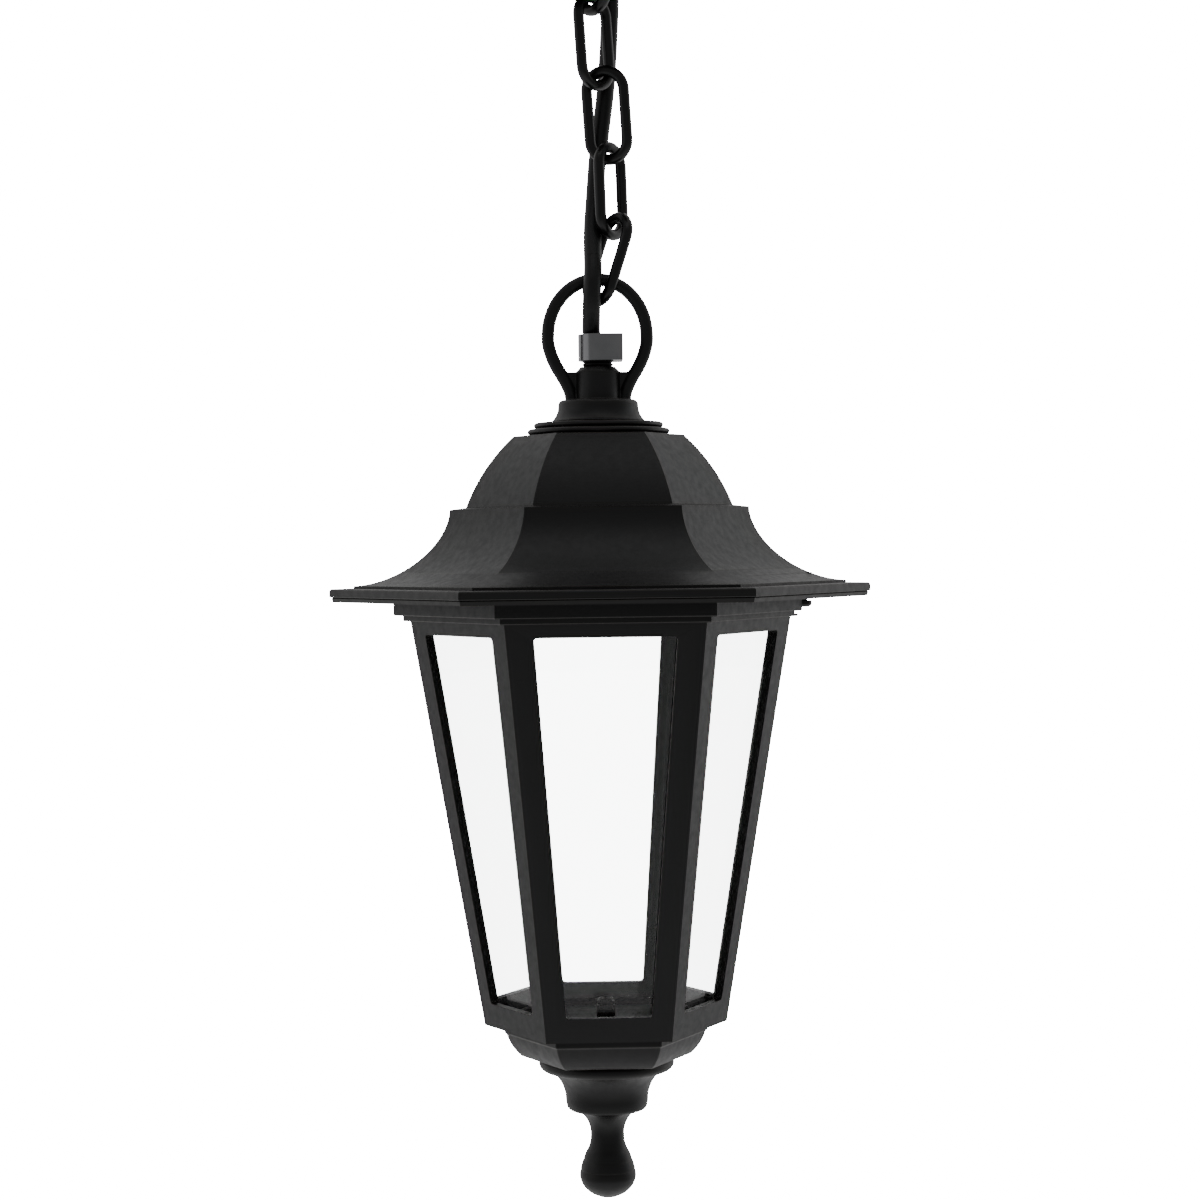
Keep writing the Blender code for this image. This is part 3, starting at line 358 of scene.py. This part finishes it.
def through(points, count):
    """A smooth curve through the points, with count steps between each two."""
    places = [Vector(p) for p in points]
    padded = [2 * places[0] - places[1]] + places + [2 * places[-1] - places[-2]]
    out = [places[0]]
    for i in range(1, len(padded) - 2):
        p0, p1, p2, p3 = padded[i - 1:i + 3]
        for k in range(1, count + 1):
            t = k / count
            out.append(0.5 * (2 * p1 + (p2 - p0) * t + (2 * p0 - 5 * p1 + 4 * p2 - p3) * t * t
                              + (3 * p1 - p0 - 3 * p2 + p3) * t * t * t))
    return out


def lathe(name, profile, steps=96, z=0.0):
    """A closed outline of (radius, height), or one that starts and ends on the axis, turned."""
    on_axis = profile[0][0] == 0 and profile[-1][0] == 0
    area = sum(a[0] * b[1] - b[0] * a[1] for a, b in zip(profile, profile[1:] + profile[:1]))
    points = list(profile) if area < 0 else list(reversed(profile))
    mesh = bpy.data.meshes.new(name)
    edges = [(i, i + 1) for i in range(len(points) - 1)]
    if not on_axis:
        edges.append((len(points) - 1, 0))
    mesh.from_pydata([(r, 0, h + z) for r, h in points], edges, [])
    thing = new_object(name, mesh)
    screw = thing.modifiers.new("turn", "SCREW")
    screw.steps = screw.render_steps = steps
    screw.use_merge_vertices = on_axis
    screw.merge_threshold = 0.00001
    return bake(thing)


def tube(name, points, radius, sides=20, closed=False):
    """A round tube through the points, its section carried along without twist."""
    points = [Vector(p) for p in points]
    count = len(points)
    rings = []
    work = bmesh.new()
    side = None
    for i, spot in enumerate(points):
        ahead = points[(i + 1) % count] if closed or i < count - 1 else spot
        behind = points[i - 1] if closed or i > 0 else spot
        along = (ahead - behind).normalized()
        if side is None:
            side = along.orthogonal().normalized()
        side = (side - along * side.dot(along)).normalized()
        up = along.cross(side)
        ring = []
        for k in range(sides):
            angle = 2 * math.pi * k / sides
            outward = side * math.cos(angle) + up * math.sin(angle)
            ring.append(work.verts.new(spot + outward * radius))
        rings.append(ring)
    for i in range(count if closed else count - 1):
        a, b = rings[i], rings[(i + 1) % count]
        for k in range(sides):
            n = (k + 1) % sides
            work.faces.new((a[k], a[n], b[n], b[k]))
    if not closed:
        work.faces.new(list(reversed(rings[0])))
        work.faces.new(rings[-1])
    mesh = bpy.data.meshes.new(name)
    work.to_mesh(mesh)
    work.free()
    return new_object(name, mesh)


def slab(name, outline, low, high):
    """A flat outline with its thickness along Z."""
    work = bmesh.new()
    foot = [work.verts.new((x, y, low)) for x, y in outline]
    face = work.faces.new(foot)
    raised = bmesh.ops.extrude_face_region(work, geom=[face])
    lifted = [v for v in raised["geom"] if isinstance(v, bmesh.types.BMVert)]
    bmesh.ops.translate(work, verts=lifted, vec=(0, 0, high - low))
    bmesh.ops.recalc_face_normals(work, faces=work.faces)
    mesh = bpy.data.meshes.new(name)
    work.to_mesh(mesh)
    work.free()
    return new_object(name, mesh)


def boolean(thing, other, operation):
    """Joins the other solid to this one or cuts it away, and the other goes."""
    step = thing.modifiers.new("step", "BOOLEAN")
    step.operation = operation
    step.solver = "EXACT"
    step.object = other
    bake(thing)
    bpy.data.objects.remove(other, do_unlink=True)


def eased_copy(node, width, segments=3):
    """A copy of a CAD node with clean flat faces and rounded edges, which stands for it."""
    work = bmesh.new()
    work.from_mesh(NODES[node].data)
    bmesh.ops.remove_doubles(work, verts=work.verts, dist=SAME_PLACE)
    bmesh.ops.dissolve_limit(work, angle_limit=FLAT_ANGLE, verts=work.verts, edges=work.edges)
    for layers in (work.loops.layers, work.edges.layers, work.faces.layers):
        for kind in ("float_vector", "bool"):
            for layer in list(getattr(layers, kind).values()):
                getattr(layers, kind).remove(layer)
    mesh = bpy.data.meshes.new(node + "_shell")
    work.to_mesh(mesh)
    work.free()
    for name in ("custom_normal", "sharp_edge", "sharp_face"):
        if name in mesh.attributes:
            mesh.attributes.remove(mesh.attributes[name])
    return eased(new_object(node + "_shell", mesh), width, segments)


def eased(thing, width, segments=3, angle=28):
    """Rounds the sharp edges and keeps the shading of the flat faces flat."""
    thing.data.shade_smooth()
    bevel = thing.modifiers.new("edges", "BEVEL")
    bevel.width = width
    bevel.segments = segments
    bevel.limit_method = "ANGLE"
    bevel.angle_limit = math.radians(angle)
    bevel.use_clamp_overlap = True
    even = thing.modifiers.new("even", "WEIGHTED_NORMAL")
    even.keep_sharp = True
    even.weight = 100
    return bake(thing)


BODY_OF = {n: body for body, members in frame["record"]["behaviour"]["bodies"].items()
           for n in members}
SLOT_OF = {entry["node"]: entry["material_slot"] for entry in frame["record"]["subparts"]}


def settle(thing, node):
    """The finished piece gets its node's material, rides on its body and stands for it."""
    thing.data.materials.clear()
    thing.data.materials.append(MATERIALS[SLOT_OF[node]])
    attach(thing, BODY_OF[node])
    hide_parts(node)


# ---------------------------------------------------------------- cable

CABLE_SIDES = 24


def make_cable():
    """The cable in five stretches, cut where the route passes the middle height of each link."""
    points = [Vector(p) + Vector((0, 0, RIM_Z)) for p in through(CABLE_ROUTE, 4)]
    seams = [entry[2][2] + RIM_Z for entry in LINKS]
    bodies = ["ceiling"] + [entry[1] for entry in LINKS] + ["lantern"]
    first = 0
    for i in range(len(bodies) - 1):
        last = len(points) - 1
        if i < len(seams):
            last = min(range(len(points)), key=lambda k: abs(points[k].z - seams[i]))
        piece = tube(f"supply_cable_{i + 1}", points[first:last + 1], CABLE_D / 2, CABLE_SIDES)
        smooth(piece, 40)
        piece.data.materials.append(MATERIALS["cable_sheath"])
        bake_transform(piece)
        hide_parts("supply_cable")
        first = last


# ---------------------------------------------------------------- chain and hook

def link_matrix(entry):
    _, _, (x, y, z), turn, lean_x, lean_y = entry
    tip_x = Matrix.Rotation(math.radians(lean_x), 4, "Y")
    tip_y = Matrix.Rotation(math.radians(-lean_y), 4, "X")
    return (Matrix.Translation((x, y, z + RIM_Z)) @ tip_y @ tip_x
            @ Matrix.Rotation(math.radians(turn), 4, "Z"))


def make_links():
    """Four oval links, each turned and leaning as it hangs."""
    half = (LINK_WIDTH - LINK_WIRE) / 2
    straight = LINK_LENGTH / 2 - LINK_WIRE / 2 - half
    outline = arc((0, straight), half, 0, 180, 28) + arc((0, -straight), half, 180, 360, 28)
    for entry in LINKS:
        place = link_matrix(entry)
        points = [place @ Vector((x, 0, z)) for x, z in outline]
        piece = tube(entry[0] + "_wire", points, LINK_WIRE / 2, 20, closed=True)
        settle(smooth(piece), entry[0])


def make_hook():
    """An open eye that carries the chain, with a stem up into the rose."""
    eye = arc((0, HOOK_SEAT_Z + HOOK_EYE_R), HOOK_EYE_R, 130, 405, 48)
    crown = HOOK_SEAT_Z + 2 * HOOK_EYE_R
    neck = [eye[-1], (0.0031, crown - 0.0004), (0.0017, crown + 0.0007), (0.0005, crown + 0.0018),
            (0, crown + 0.0029), (0, -0.0090), (0, -0.0028)]
    path = eye[:-1] + [tuple(p) for p in through(neck, 5)]
    turn = Matrix.Rotation(math.radians(HOOK_TURN), 3, "Z")
    points = [turn @ Vector((x, 0, z)) for x, z in path]
    settle(smooth(tube("hook_wire", points, HOOK_WIRE / 2, 20)), "ceiling_hook")


# ---------------------------------------------------------------- loop, cap and discs

HANGER_VOXEL = 0.00028


def make_hanger():
    """The cast loop, webs, boss and cap, melted together so that their joints have fillets."""
    foot = [(0.0080, 0.0618), (0.00895, 0.0660), (0.01075, 0.0697)]
    legs = foot + [(0.0130, 0.0735), (0.0146, 0.0772), (LOOP_HALF, 0.0810)]
    crown = [(LOOP_HALF * x, LOOP_Z + LOOP_RISE * y) for x, y in arc((0, 0), 1, 6, 174, 21)]
    path = legs + crown + [(-x, z) for x, z in reversed(legs)]
    points = [Vector((p.x, 0, p.y + RIM_Z)) for p in through(path, 3)]
    loop = tube("hanger_cast", points, LOOP_WIRE / 2, 24)

    bore = THREAD_R + FIT
    shoulder = (CAP_NECK_R - CAP_ROUND, CAP_TOP - CAP_ROUND)
    profile = arc_between((CAP_R, CAP_FOOT), (CAP_NECK_R, shoulder[1] - 0.0001), CAP_BOW_R, 8, -1)
    profile += arc(shoulder, CAP_ROUND, 0, 90, 5)
    profile += [(BOSS_R, CAP_TOP), (BOSS_R, BOSS_TOP - BOSS_CHAMFER - 0.0001),
                (BOSS_R - BOSS_CHAMFER, BOSS_TOP), (bore, BOSS_TOP), (bore, CAP_TOP - CAP_SKIN),
                (CAP_HOLLOW_R, CAP_TOP - CAP_SKIN), (CAP_HOLLOW_R, CAP_FOOT)]
    body = lathe("cap_body", profile, 96, RIM_Z)
    edge = foot + [(0.0118, WEB_TOP)]
    outline = edge + [(-x, z) for x, z in reversed(edge)]
    web = slab("web", outline, -WEB_T / 2, WEB_T / 2)
    upright = Matrix.Rotation(math.radians(90), 4, "X")
    web.data.transform(Matrix.Translation((0, 0, RIM_Z)) @ upright)
    boolean(loop, web, "UNION")
    boolean(loop, body, "UNION")
    way = tube("way", [(0, 0, RIM_Z + CAP_TOP - 0.003), (0, 0, RIM_Z + BOSS_TOP + 0.002)], bore, 64)
    boolean(loop, way, "DIFFERENCE")
    melt = loop.modifiers.new("melt", "REMESH")
    melt.mode = "VOXEL"
    melt.voxel_size = HANGER_VOXEL
    ease = loop.modifiers.new("ease", "SMOOTH")
    ease.factor = 0.5
    ease.iterations = 3
    bake(loop)
    settle(smooth(loop, 50), "hanger")


def make_discs():
    """Two washers with half-round outer edges."""
    for node in ("upper_disc", "lower_disc"):
        low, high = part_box(node)
        radius, edge = high[0], (high[2] - low[2]) / 2
        middle = (high[2] + low[2]) / 2
        profile = arc((radius - edge, middle), edge, -90, 90, 10)
        profile += [(THREAD_R + FIT, high[2]), (THREAD_R + FIT, low[2])]
        settle(smooth(lathe(node + "_turned", profile, 128)), node)


# ---------------------------------------------------------------- thread and cord grip

def make_nipple():
    """The lamp thread: a tube with an M10x1 thread cut on its outside."""
    low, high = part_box("nipple")
    bore, crest, root = TUBE_BORE_R, THREAD_R, THREAD_R - THREAD_DEPTH
    turns = int((high[2] - low[2]) / THREAD_PITCH) - 1
    profile = [(bore, high[2]), (root, high[2])]
    z = high[2] - 0.0004
    for _ in range(turns):
        profile += [(root, z), (crest, z - THREAD_PITCH * 0.42), (crest, z - THREAD_PITCH * 0.58)]
        z -= THREAD_PITCH
    profile += [(root, z), (root, low[2]), (bore, low[2])]
    settle(smooth(lathe("nipple_thread", profile, 64), 25), "nipple")


def make_grip():
    """Half-round and square block with eased edges, bored for the tube and the screw."""
    outline = arc((0, 0), GRIP_R, 90, 270, 40)
    outline += [(GRIP_REACH - 0.0007, -GRIP_R), (GRIP_REACH - 0.0002, -GRIP_R + 0.0002),
                (GRIP_REACH, -GRIP_R + 0.0007), (GRIP_REACH, GRIP_R - 0.0007),
                (GRIP_REACH - 0.0002, GRIP_R - 0.0002), (GRIP_REACH - 0.0007, GRIP_R)]
    low = RIM_Z + GRIP_FOOT
    grip = slab("cord_grip_block", outline, low, low + GRIP_H)
    way = tube("way", [(0, 0, low - 0.002), (0, 0, low + GRIP_H + 0.002)], THREAD_R + FIT, 64)
    boolean(grip, way, "DIFFERENCE")
    screw_z = low + GRIP_SCREW_Z
    side = tube("side", [(0.002, 0, screw_z), (GRIP_REACH + 0.002, 0, screw_z)], GRIP_SCREW_R, 32)
    boolean(grip, side, "DIFFERENCE")
    settle(eased(grip, 0.00030, 3, 50), "cord_grip")


# ---------------------------------------------------------------- finial

FINIAL_TOP = -0.1430
FINIAL_DRILL = 0.0105
FINIAL_DRILL_R = 0.0016
BALL_LINES = (-0.1751, -0.1785)
LINE_DEPTH = 0.00016
LINE_WIDTH = 0.00022


def finial_profile():
    """Bead, groove, hollow neck, stem and a ball with two faint ring lines."""
    top = FINIAL_TOP
    points = [(0.0, top)]
    points += arc_between((0.0204, top), (0.0199, top - 0.0037), 0.0022, 14, -1)
    points += [(0.0180, top - 0.0038)]
    points += arc_between((0.0178, top - 0.0039), (0.01295, top - 0.0132), 0.0115, 16, 1)
    points += [(0.01285, top - 0.0142)]
    points += arc_between((0.01265, top - 0.0151), (0.0113, top - 0.0164), 0.0016, 8, -1)
    points += arc_between((0.00875, top - 0.0170), (0.00527, top - 0.0246), 0.0090, 14, 1)
    ball = through([(0.0054, -0.1695), (0.0060, -0.1714), (0.0070, -0.1733), (0.0077, -0.1752),
                    (0.0083, -0.1770), (0.0088, -0.1795), (0.0087, -0.1812), (0.00775, -0.1834),
                    (0.0056, -0.1855), (0.0029, -0.1868)], 7)
    for spot in ball:
        groove = sum(LINE_DEPTH * math.exp(-((spot.y - z) / LINE_WIDTH) ** 2) for z in BALL_LINES)
        points.append((spot.x - groove, spot.y))
    points += [(0.0014, -0.18705), (0.0, -0.1871)]
    return points


def make_finial():
    piece = lathe("finial_turned", finial_profile(), 128, RIM_Z)
    top = RIM_Z + FINIAL_TOP
    way = tube("way", [(0, 0, top + 0.002), (0, 0, top - FINIAL_DRILL)], FINIAL_DRILL_R, 32)
    boolean(piece, way, "DIFFERENCE")
    settle(smooth(piece, 38), "finial")


# ---------------------------------------------------------------- roof

WALL = 0.0020
DOME = ((0.0267, 0.0517), (0.0419, 0.0295))
DOME_BOW_R = 0.058
SKIRT = ((0.0470, 0.0289), (0.0773, 0.00545))
SKIRT_POWER = 1.75
RIM_R = 0.0850
RIM_TOP = 0.0046
RIM_FOOT = 0.00195
RIM_ROUND = 0.0009
RIM_EASE = 0.0002
SPIGOT_R = 0.0530
SPIGOT_T = 0.0018
SPIGOT_FOOT = -0.0050
SCREW_BOSS_R = 0.0030
SCREW_BOSS_TOP = 0.0080
SCREW_HOLE_R = 0.0017
SCREW_HOLE_TOP = 0.0066


def skirt_height(radius, drop=0.0):
    """Height of the skirt's curve at this corner radius; drop gives its underside."""
    (top_r, top), (foot_r, foot) = SKIRT
    share = min(1.0, max(0.0, (foot_r - drop - radius) / (foot_r - top_r)))
    return top - drop - (top - foot) * (1 - share ** SKIRT_POWER) ** (1 / SKIRT_POWER)


def roof_profile():
    """The moulding's section at a corner: dome, skirt and rim outside, spigot and dome inside."""
    (top_r, top), (foot_r, foot) = SKIRT
    bore = (THREAD_R + FIT) / math.cos(math.pi / 6)
    points = [(bore, DOME[0][1])] + arc_between(*DOME, DOME_BOW_R, 22, -1)
    for i in range(29):
        angle = math.pi / 2 * i / 28
        points.append((top_r + (foot_r - top_r) * (1 - math.cos(angle) ** (2 / SKIRT_POWER)),
                       top - (top - foot) * math.sin(angle) ** (2 / SKIRT_POWER)))
    points += [(foot_r, RIM_TOP)]
    points += arc((RIM_R - RIM_ROUND, RIM_TOP - RIM_ROUND), RIM_ROUND, 90, 0, 6)
    points += [(RIM_R, RIM_FOOT + RIM_EASE), (RIM_R - RIM_EASE, RIM_FOOT)]
    inner = foot_r - WALL
    points += [(inner, RIM_FOOT)]
    steps = 8
    for i in range(1, steps + 1):
        radius = inner + (SPIGOT_R - inner) * i / steps
        points.append((radius, skirt_height(radius, WALL)))
    spigot_in = SPIGOT_R - SPIGOT_T
    points += [(SPIGOT_R, SPIGOT_FOOT), (spigot_in, SPIGOT_FOOT),
               (spigot_in, skirt_height(spigot_in, WALL))]
    ceiling = top - 2 * WALL
    dome_r = DOME[1][0] - WALL
    points += [(DOME[1][0] + 0.0035, ceiling), (dome_r, ceiling), (dome_r, DOME[1][1])]
    points += reversed(arc_between((DOME[0][0] - WALL, DOME[0][1] - WALL),
                                   (dome_r, DOME[1][1] + 0.001), DOME_BOW_R, 12, -1))
    return points + [(bore, DOME[0][1] - WALL)]


def make_roof():
    """The moulding as a six-sided turning, with a bored boss for each of the cage's screws."""
    roof = lathe("roof_shell", roof_profile(), 6, RIM_Z)
    for node in ("cage_screw_1", "cage_screw_2", "cage_screw_3"):
        low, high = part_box(node)
        x, y = (low[0] + high[0]) / 2, (low[1] + high[1]) / 2
        ends = [(x, y, RIM_Z + RIM_FOOT), (x, y, RIM_Z + SCREW_BOSS_TOP)]
        boss = tube("boss", ends, SCREW_BOSS_R, 40)
        boolean(roof, boss, "UNION")
        ends = [(x, y, RIM_Z - 0.001), (x, y, RIM_Z + SCREW_HOLE_TOP)]
        way = tube("way", ends, SCREW_HOLE_R, 32)
        boolean(roof, way, "DIFFERENCE")
    settle(eased(roof, 0.00030, 3, 30), "roof")


# ---------------------------------------------------------------- rose and fixings

def make_rose():
    """A spun cup with a round bottom edge and holes for the hook and the cable."""
    low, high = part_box("rose_cover")
    radius, wall, bend = high[0], ROSE_WALL, high[0] * 0.28
    corner = radius - bend
    bore = HOOK_WIRE / 2 + 2 * FIT
    profile = [(bore, low[2]), (corner, low[2])]
    profile += arc((corner, low[2] + bend), bend, 270, 360, 16)[1:]
    profile += [(radius, high[2]), (radius - wall, high[2]), (radius - wall, low[2] + bend)]
    profile += arc((corner, low[2] + bend), bend - wall, 360, 270, 16)[1:]
    profile += [(bore, low[2] + wall)]
    rose = lathe("rose_spun", profile, 128)
    grommet_low, grommet_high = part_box("rose_grommet")
    x = (grommet_low[0] + grommet_high[0]) / 2
    y = (grommet_low[1] + grommet_high[1]) / 2
    way = tube("way", [(x, y, low[2] - 0.004), (x, y, low[2] + 0.006)], CABLE_HOLE_R, 48)
    boolean(rose, way, "DIFFERENCE")
    settle(smooth(rose), "rose_cover")


def make_eased():
    """Pieces whose CAD shape is right and whose edges are eased here."""
    widths = {
        "cage_frame": 0.00035, "base_cup": 0.00035, "holder_cap": 0.00025,
        "holder_body": 0.00030, "holder_ring": 0.00030, "holder_insert": 0.00030,
        "centre_contact": 0.00012, "side_contact": 0.00012, "lock_nut": 0.00030,
        "hook_nut": 0.00030, "rose_nut": 0.00030, "lock_washer": 0.00020,
        "ceiling_bracket": 0.00040, "terminal_block": 0.00040, "rose_grommet": 0.00030,
        "roof_gasket": 0.00025, "grip_screw": 0.00015, "finial_screw": 0.00015,
    }
    widths.update({f"cage_screw_{i}": 0.00015 for i in (1, 2, 3)})
    for node, width in widths.items():
        settle(eased_copy(node, width), node)
    for i in range(1, 7):
        settle(eased_copy(f"glass_pane_{i}", 0.00030, 2), f"glass_pane_{i}")


# ---------------------------------------------------------------- stage

FLOOR_Z = -0.95
FLOOR_HALF = 14
FRONT_GLOW = 0.27
BACK_GLOW = 0.85
FLOOR_GLOW = 0.7
BACKDROP = 32.0


def looked_at(tree):
    """1 where the eye looks at it, straight or through glass; 0 where it lights or is reflected."""
    path = tree.nodes.new("ShaderNodeLightPath")

    def maths(kind, first, second):
        node = tree.nodes.new("ShaderNodeMath")
        node.operation = kind
        for slot, value in enumerate((first, second)):
            if isinstance(value, float):
                node.inputs[slot].default_value = value
            else:
                tree.links.new(value, node.inputs[slot])
        return node.outputs[0]

    bounces = maths("ADD", path.outputs["Diffuse Depth"], path.outputs["Glossy Depth"])
    looking = maths("MAXIMUM", path.outputs["Is Camera Ray"], path.outputs["Is Transmission Ray"])
    return maths("MULTIPLY", maths("LESS_THAN", bounces, 0.5), looking)


def make_stage():
    """A plain white floor, as bright as the backdrop to the eye and no light for the lantern."""
    mesh = bpy.data.meshes.new("floor")
    corners = [(x * FLOOR_HALF, y * FLOOR_HALF, FLOOR_Z) for x, y in ((-1, -1), (1, -1), (1, 1), (-1, 1))]
    mesh.from_pydata(corners, [], [(0, 1, 2, 3)])
    floor = new_object("floor", mesh)
    mat = Nodes("floor_white")
    grain = mat.noise(3, 3)
    shown = mat.add("ShaderNodeMath", operation="MULTIPLY")
    mat.join(mat.span(grain, 0.3, 0.7, BACKDROP * 0.97, BACKDROP), shown.inputs[0])
    mat.join(looked_at(mat.tree), shown.inputs[1])
    mat.join(shown.outputs[0], mat.shader.inputs["Emission Strength"])
    mat.set(Base_Color=(0.9, 0.9, 0.9, 1), Roughness=1.0, Emission_Color=(1, 1, 1, 1))
    floor.data.materials.append(mat.material)
    floor.visible_diffuse = False
    floor.visible_glossy = False


def make_world():
    """White to the eye, also through glass; as light, a bright back, a dim front and a soft floor."""
    world = bpy.data.worlds.new("studio")
    bpy.context.scene.world = world
    world.use_nodes = True
    tree = world.node_tree
    tree.nodes.clear()
    output = tree.nodes.new("ShaderNodeOutputWorld")
    place = tree.nodes.new("ShaderNodeTexCoord")
    parts = tree.nodes.new("ShaderNodeSeparateXYZ")
    tree.links.new(place.outputs["Generated"], parts.inputs["Vector"])
    glow = tree.nodes.new("ShaderNodeMath")
    glow.operation = "ADD"
    ramps = (("Y", -0.25, 0.60, FRONT_GLOW, BACK_GLOW), ("Z", -0.20, -0.90, 0.0, FLOOR_GLOW))
    for slot, (axis, *limits) in enumerate(ramps):
        ramp = tree.nodes.new("ShaderNodeMapRange")
        ramp.interpolation_type = "SMOOTHSTEP"
        tree.links.new(parts.outputs[axis], ramp.inputs["Value"])
        for key, value in zip(("From Min", "From Max", "To Min", "To Max"), limits):
            ramp.inputs[key].default_value = value
        tree.links.new(ramp.outputs["Result"], glow.inputs[slot])
    studio = tree.nodes.new("ShaderNodeBackground")
    tree.links.new(glow.outputs[0], studio.inputs["Strength"])
    seen = tree.nodes.new("ShaderNodeBackground")
    seen.inputs["Strength"].default_value = BACKDROP
    choose = tree.nodes.new("ShaderNodeMixShader")
    tree.links.new(looked_at(tree), choose.inputs["Fac"])
    tree.links.new(studio.outputs[0], choose.inputs[1])
    tree.links.new(seen.outputs[0], choose.inputs[2])
    tree.links.new(choose.outputs[0], output.inputs["Surface"])


def area_light(name, place, target, size, power):
    data = bpy.data.lights.new(name, "AREA")
    data.shape = "RECTANGLE"
    data.size, data.size_y = size
    data.energy = power
    lamp = bpy.data.objects.new(name, data)
    lamp.location = place
    lamp.rotation_euler = (Vector(target) - Vector(place)).to_track_quat("-Z", "Y").to_euler()
    bpy.context.scene.collection.objects.link(lamp)


def make_lights():
    """A soft box at each side, the right one further back, and one overhead."""
    middle = (0, 0, RIM_Z - 0.02)
    area_light("left_softbox", (-0.9, -0.25, RIM_Z + 0.10), middle, (0.6, 0.9), 0.50)
    area_light("right_softbox", (0.9, 0.40, RIM_Z + 0.10), middle, (0.6, 0.9), 0.58)
    area_light("top_softbox", (0, -0.2, 0.6), middle, (0.7, 0.7), 0.70)


# ---------------------------------------------------------------- whole scene

make_camera()
MATERIALS = make_materials()
make_cable()
make_links()
make_hook()
make_hanger()
make_discs()
make_nipple()
make_grip()
make_finial()
make_rose()
make_roof()
make_eased()
make_stage()
make_world()
make_lights()
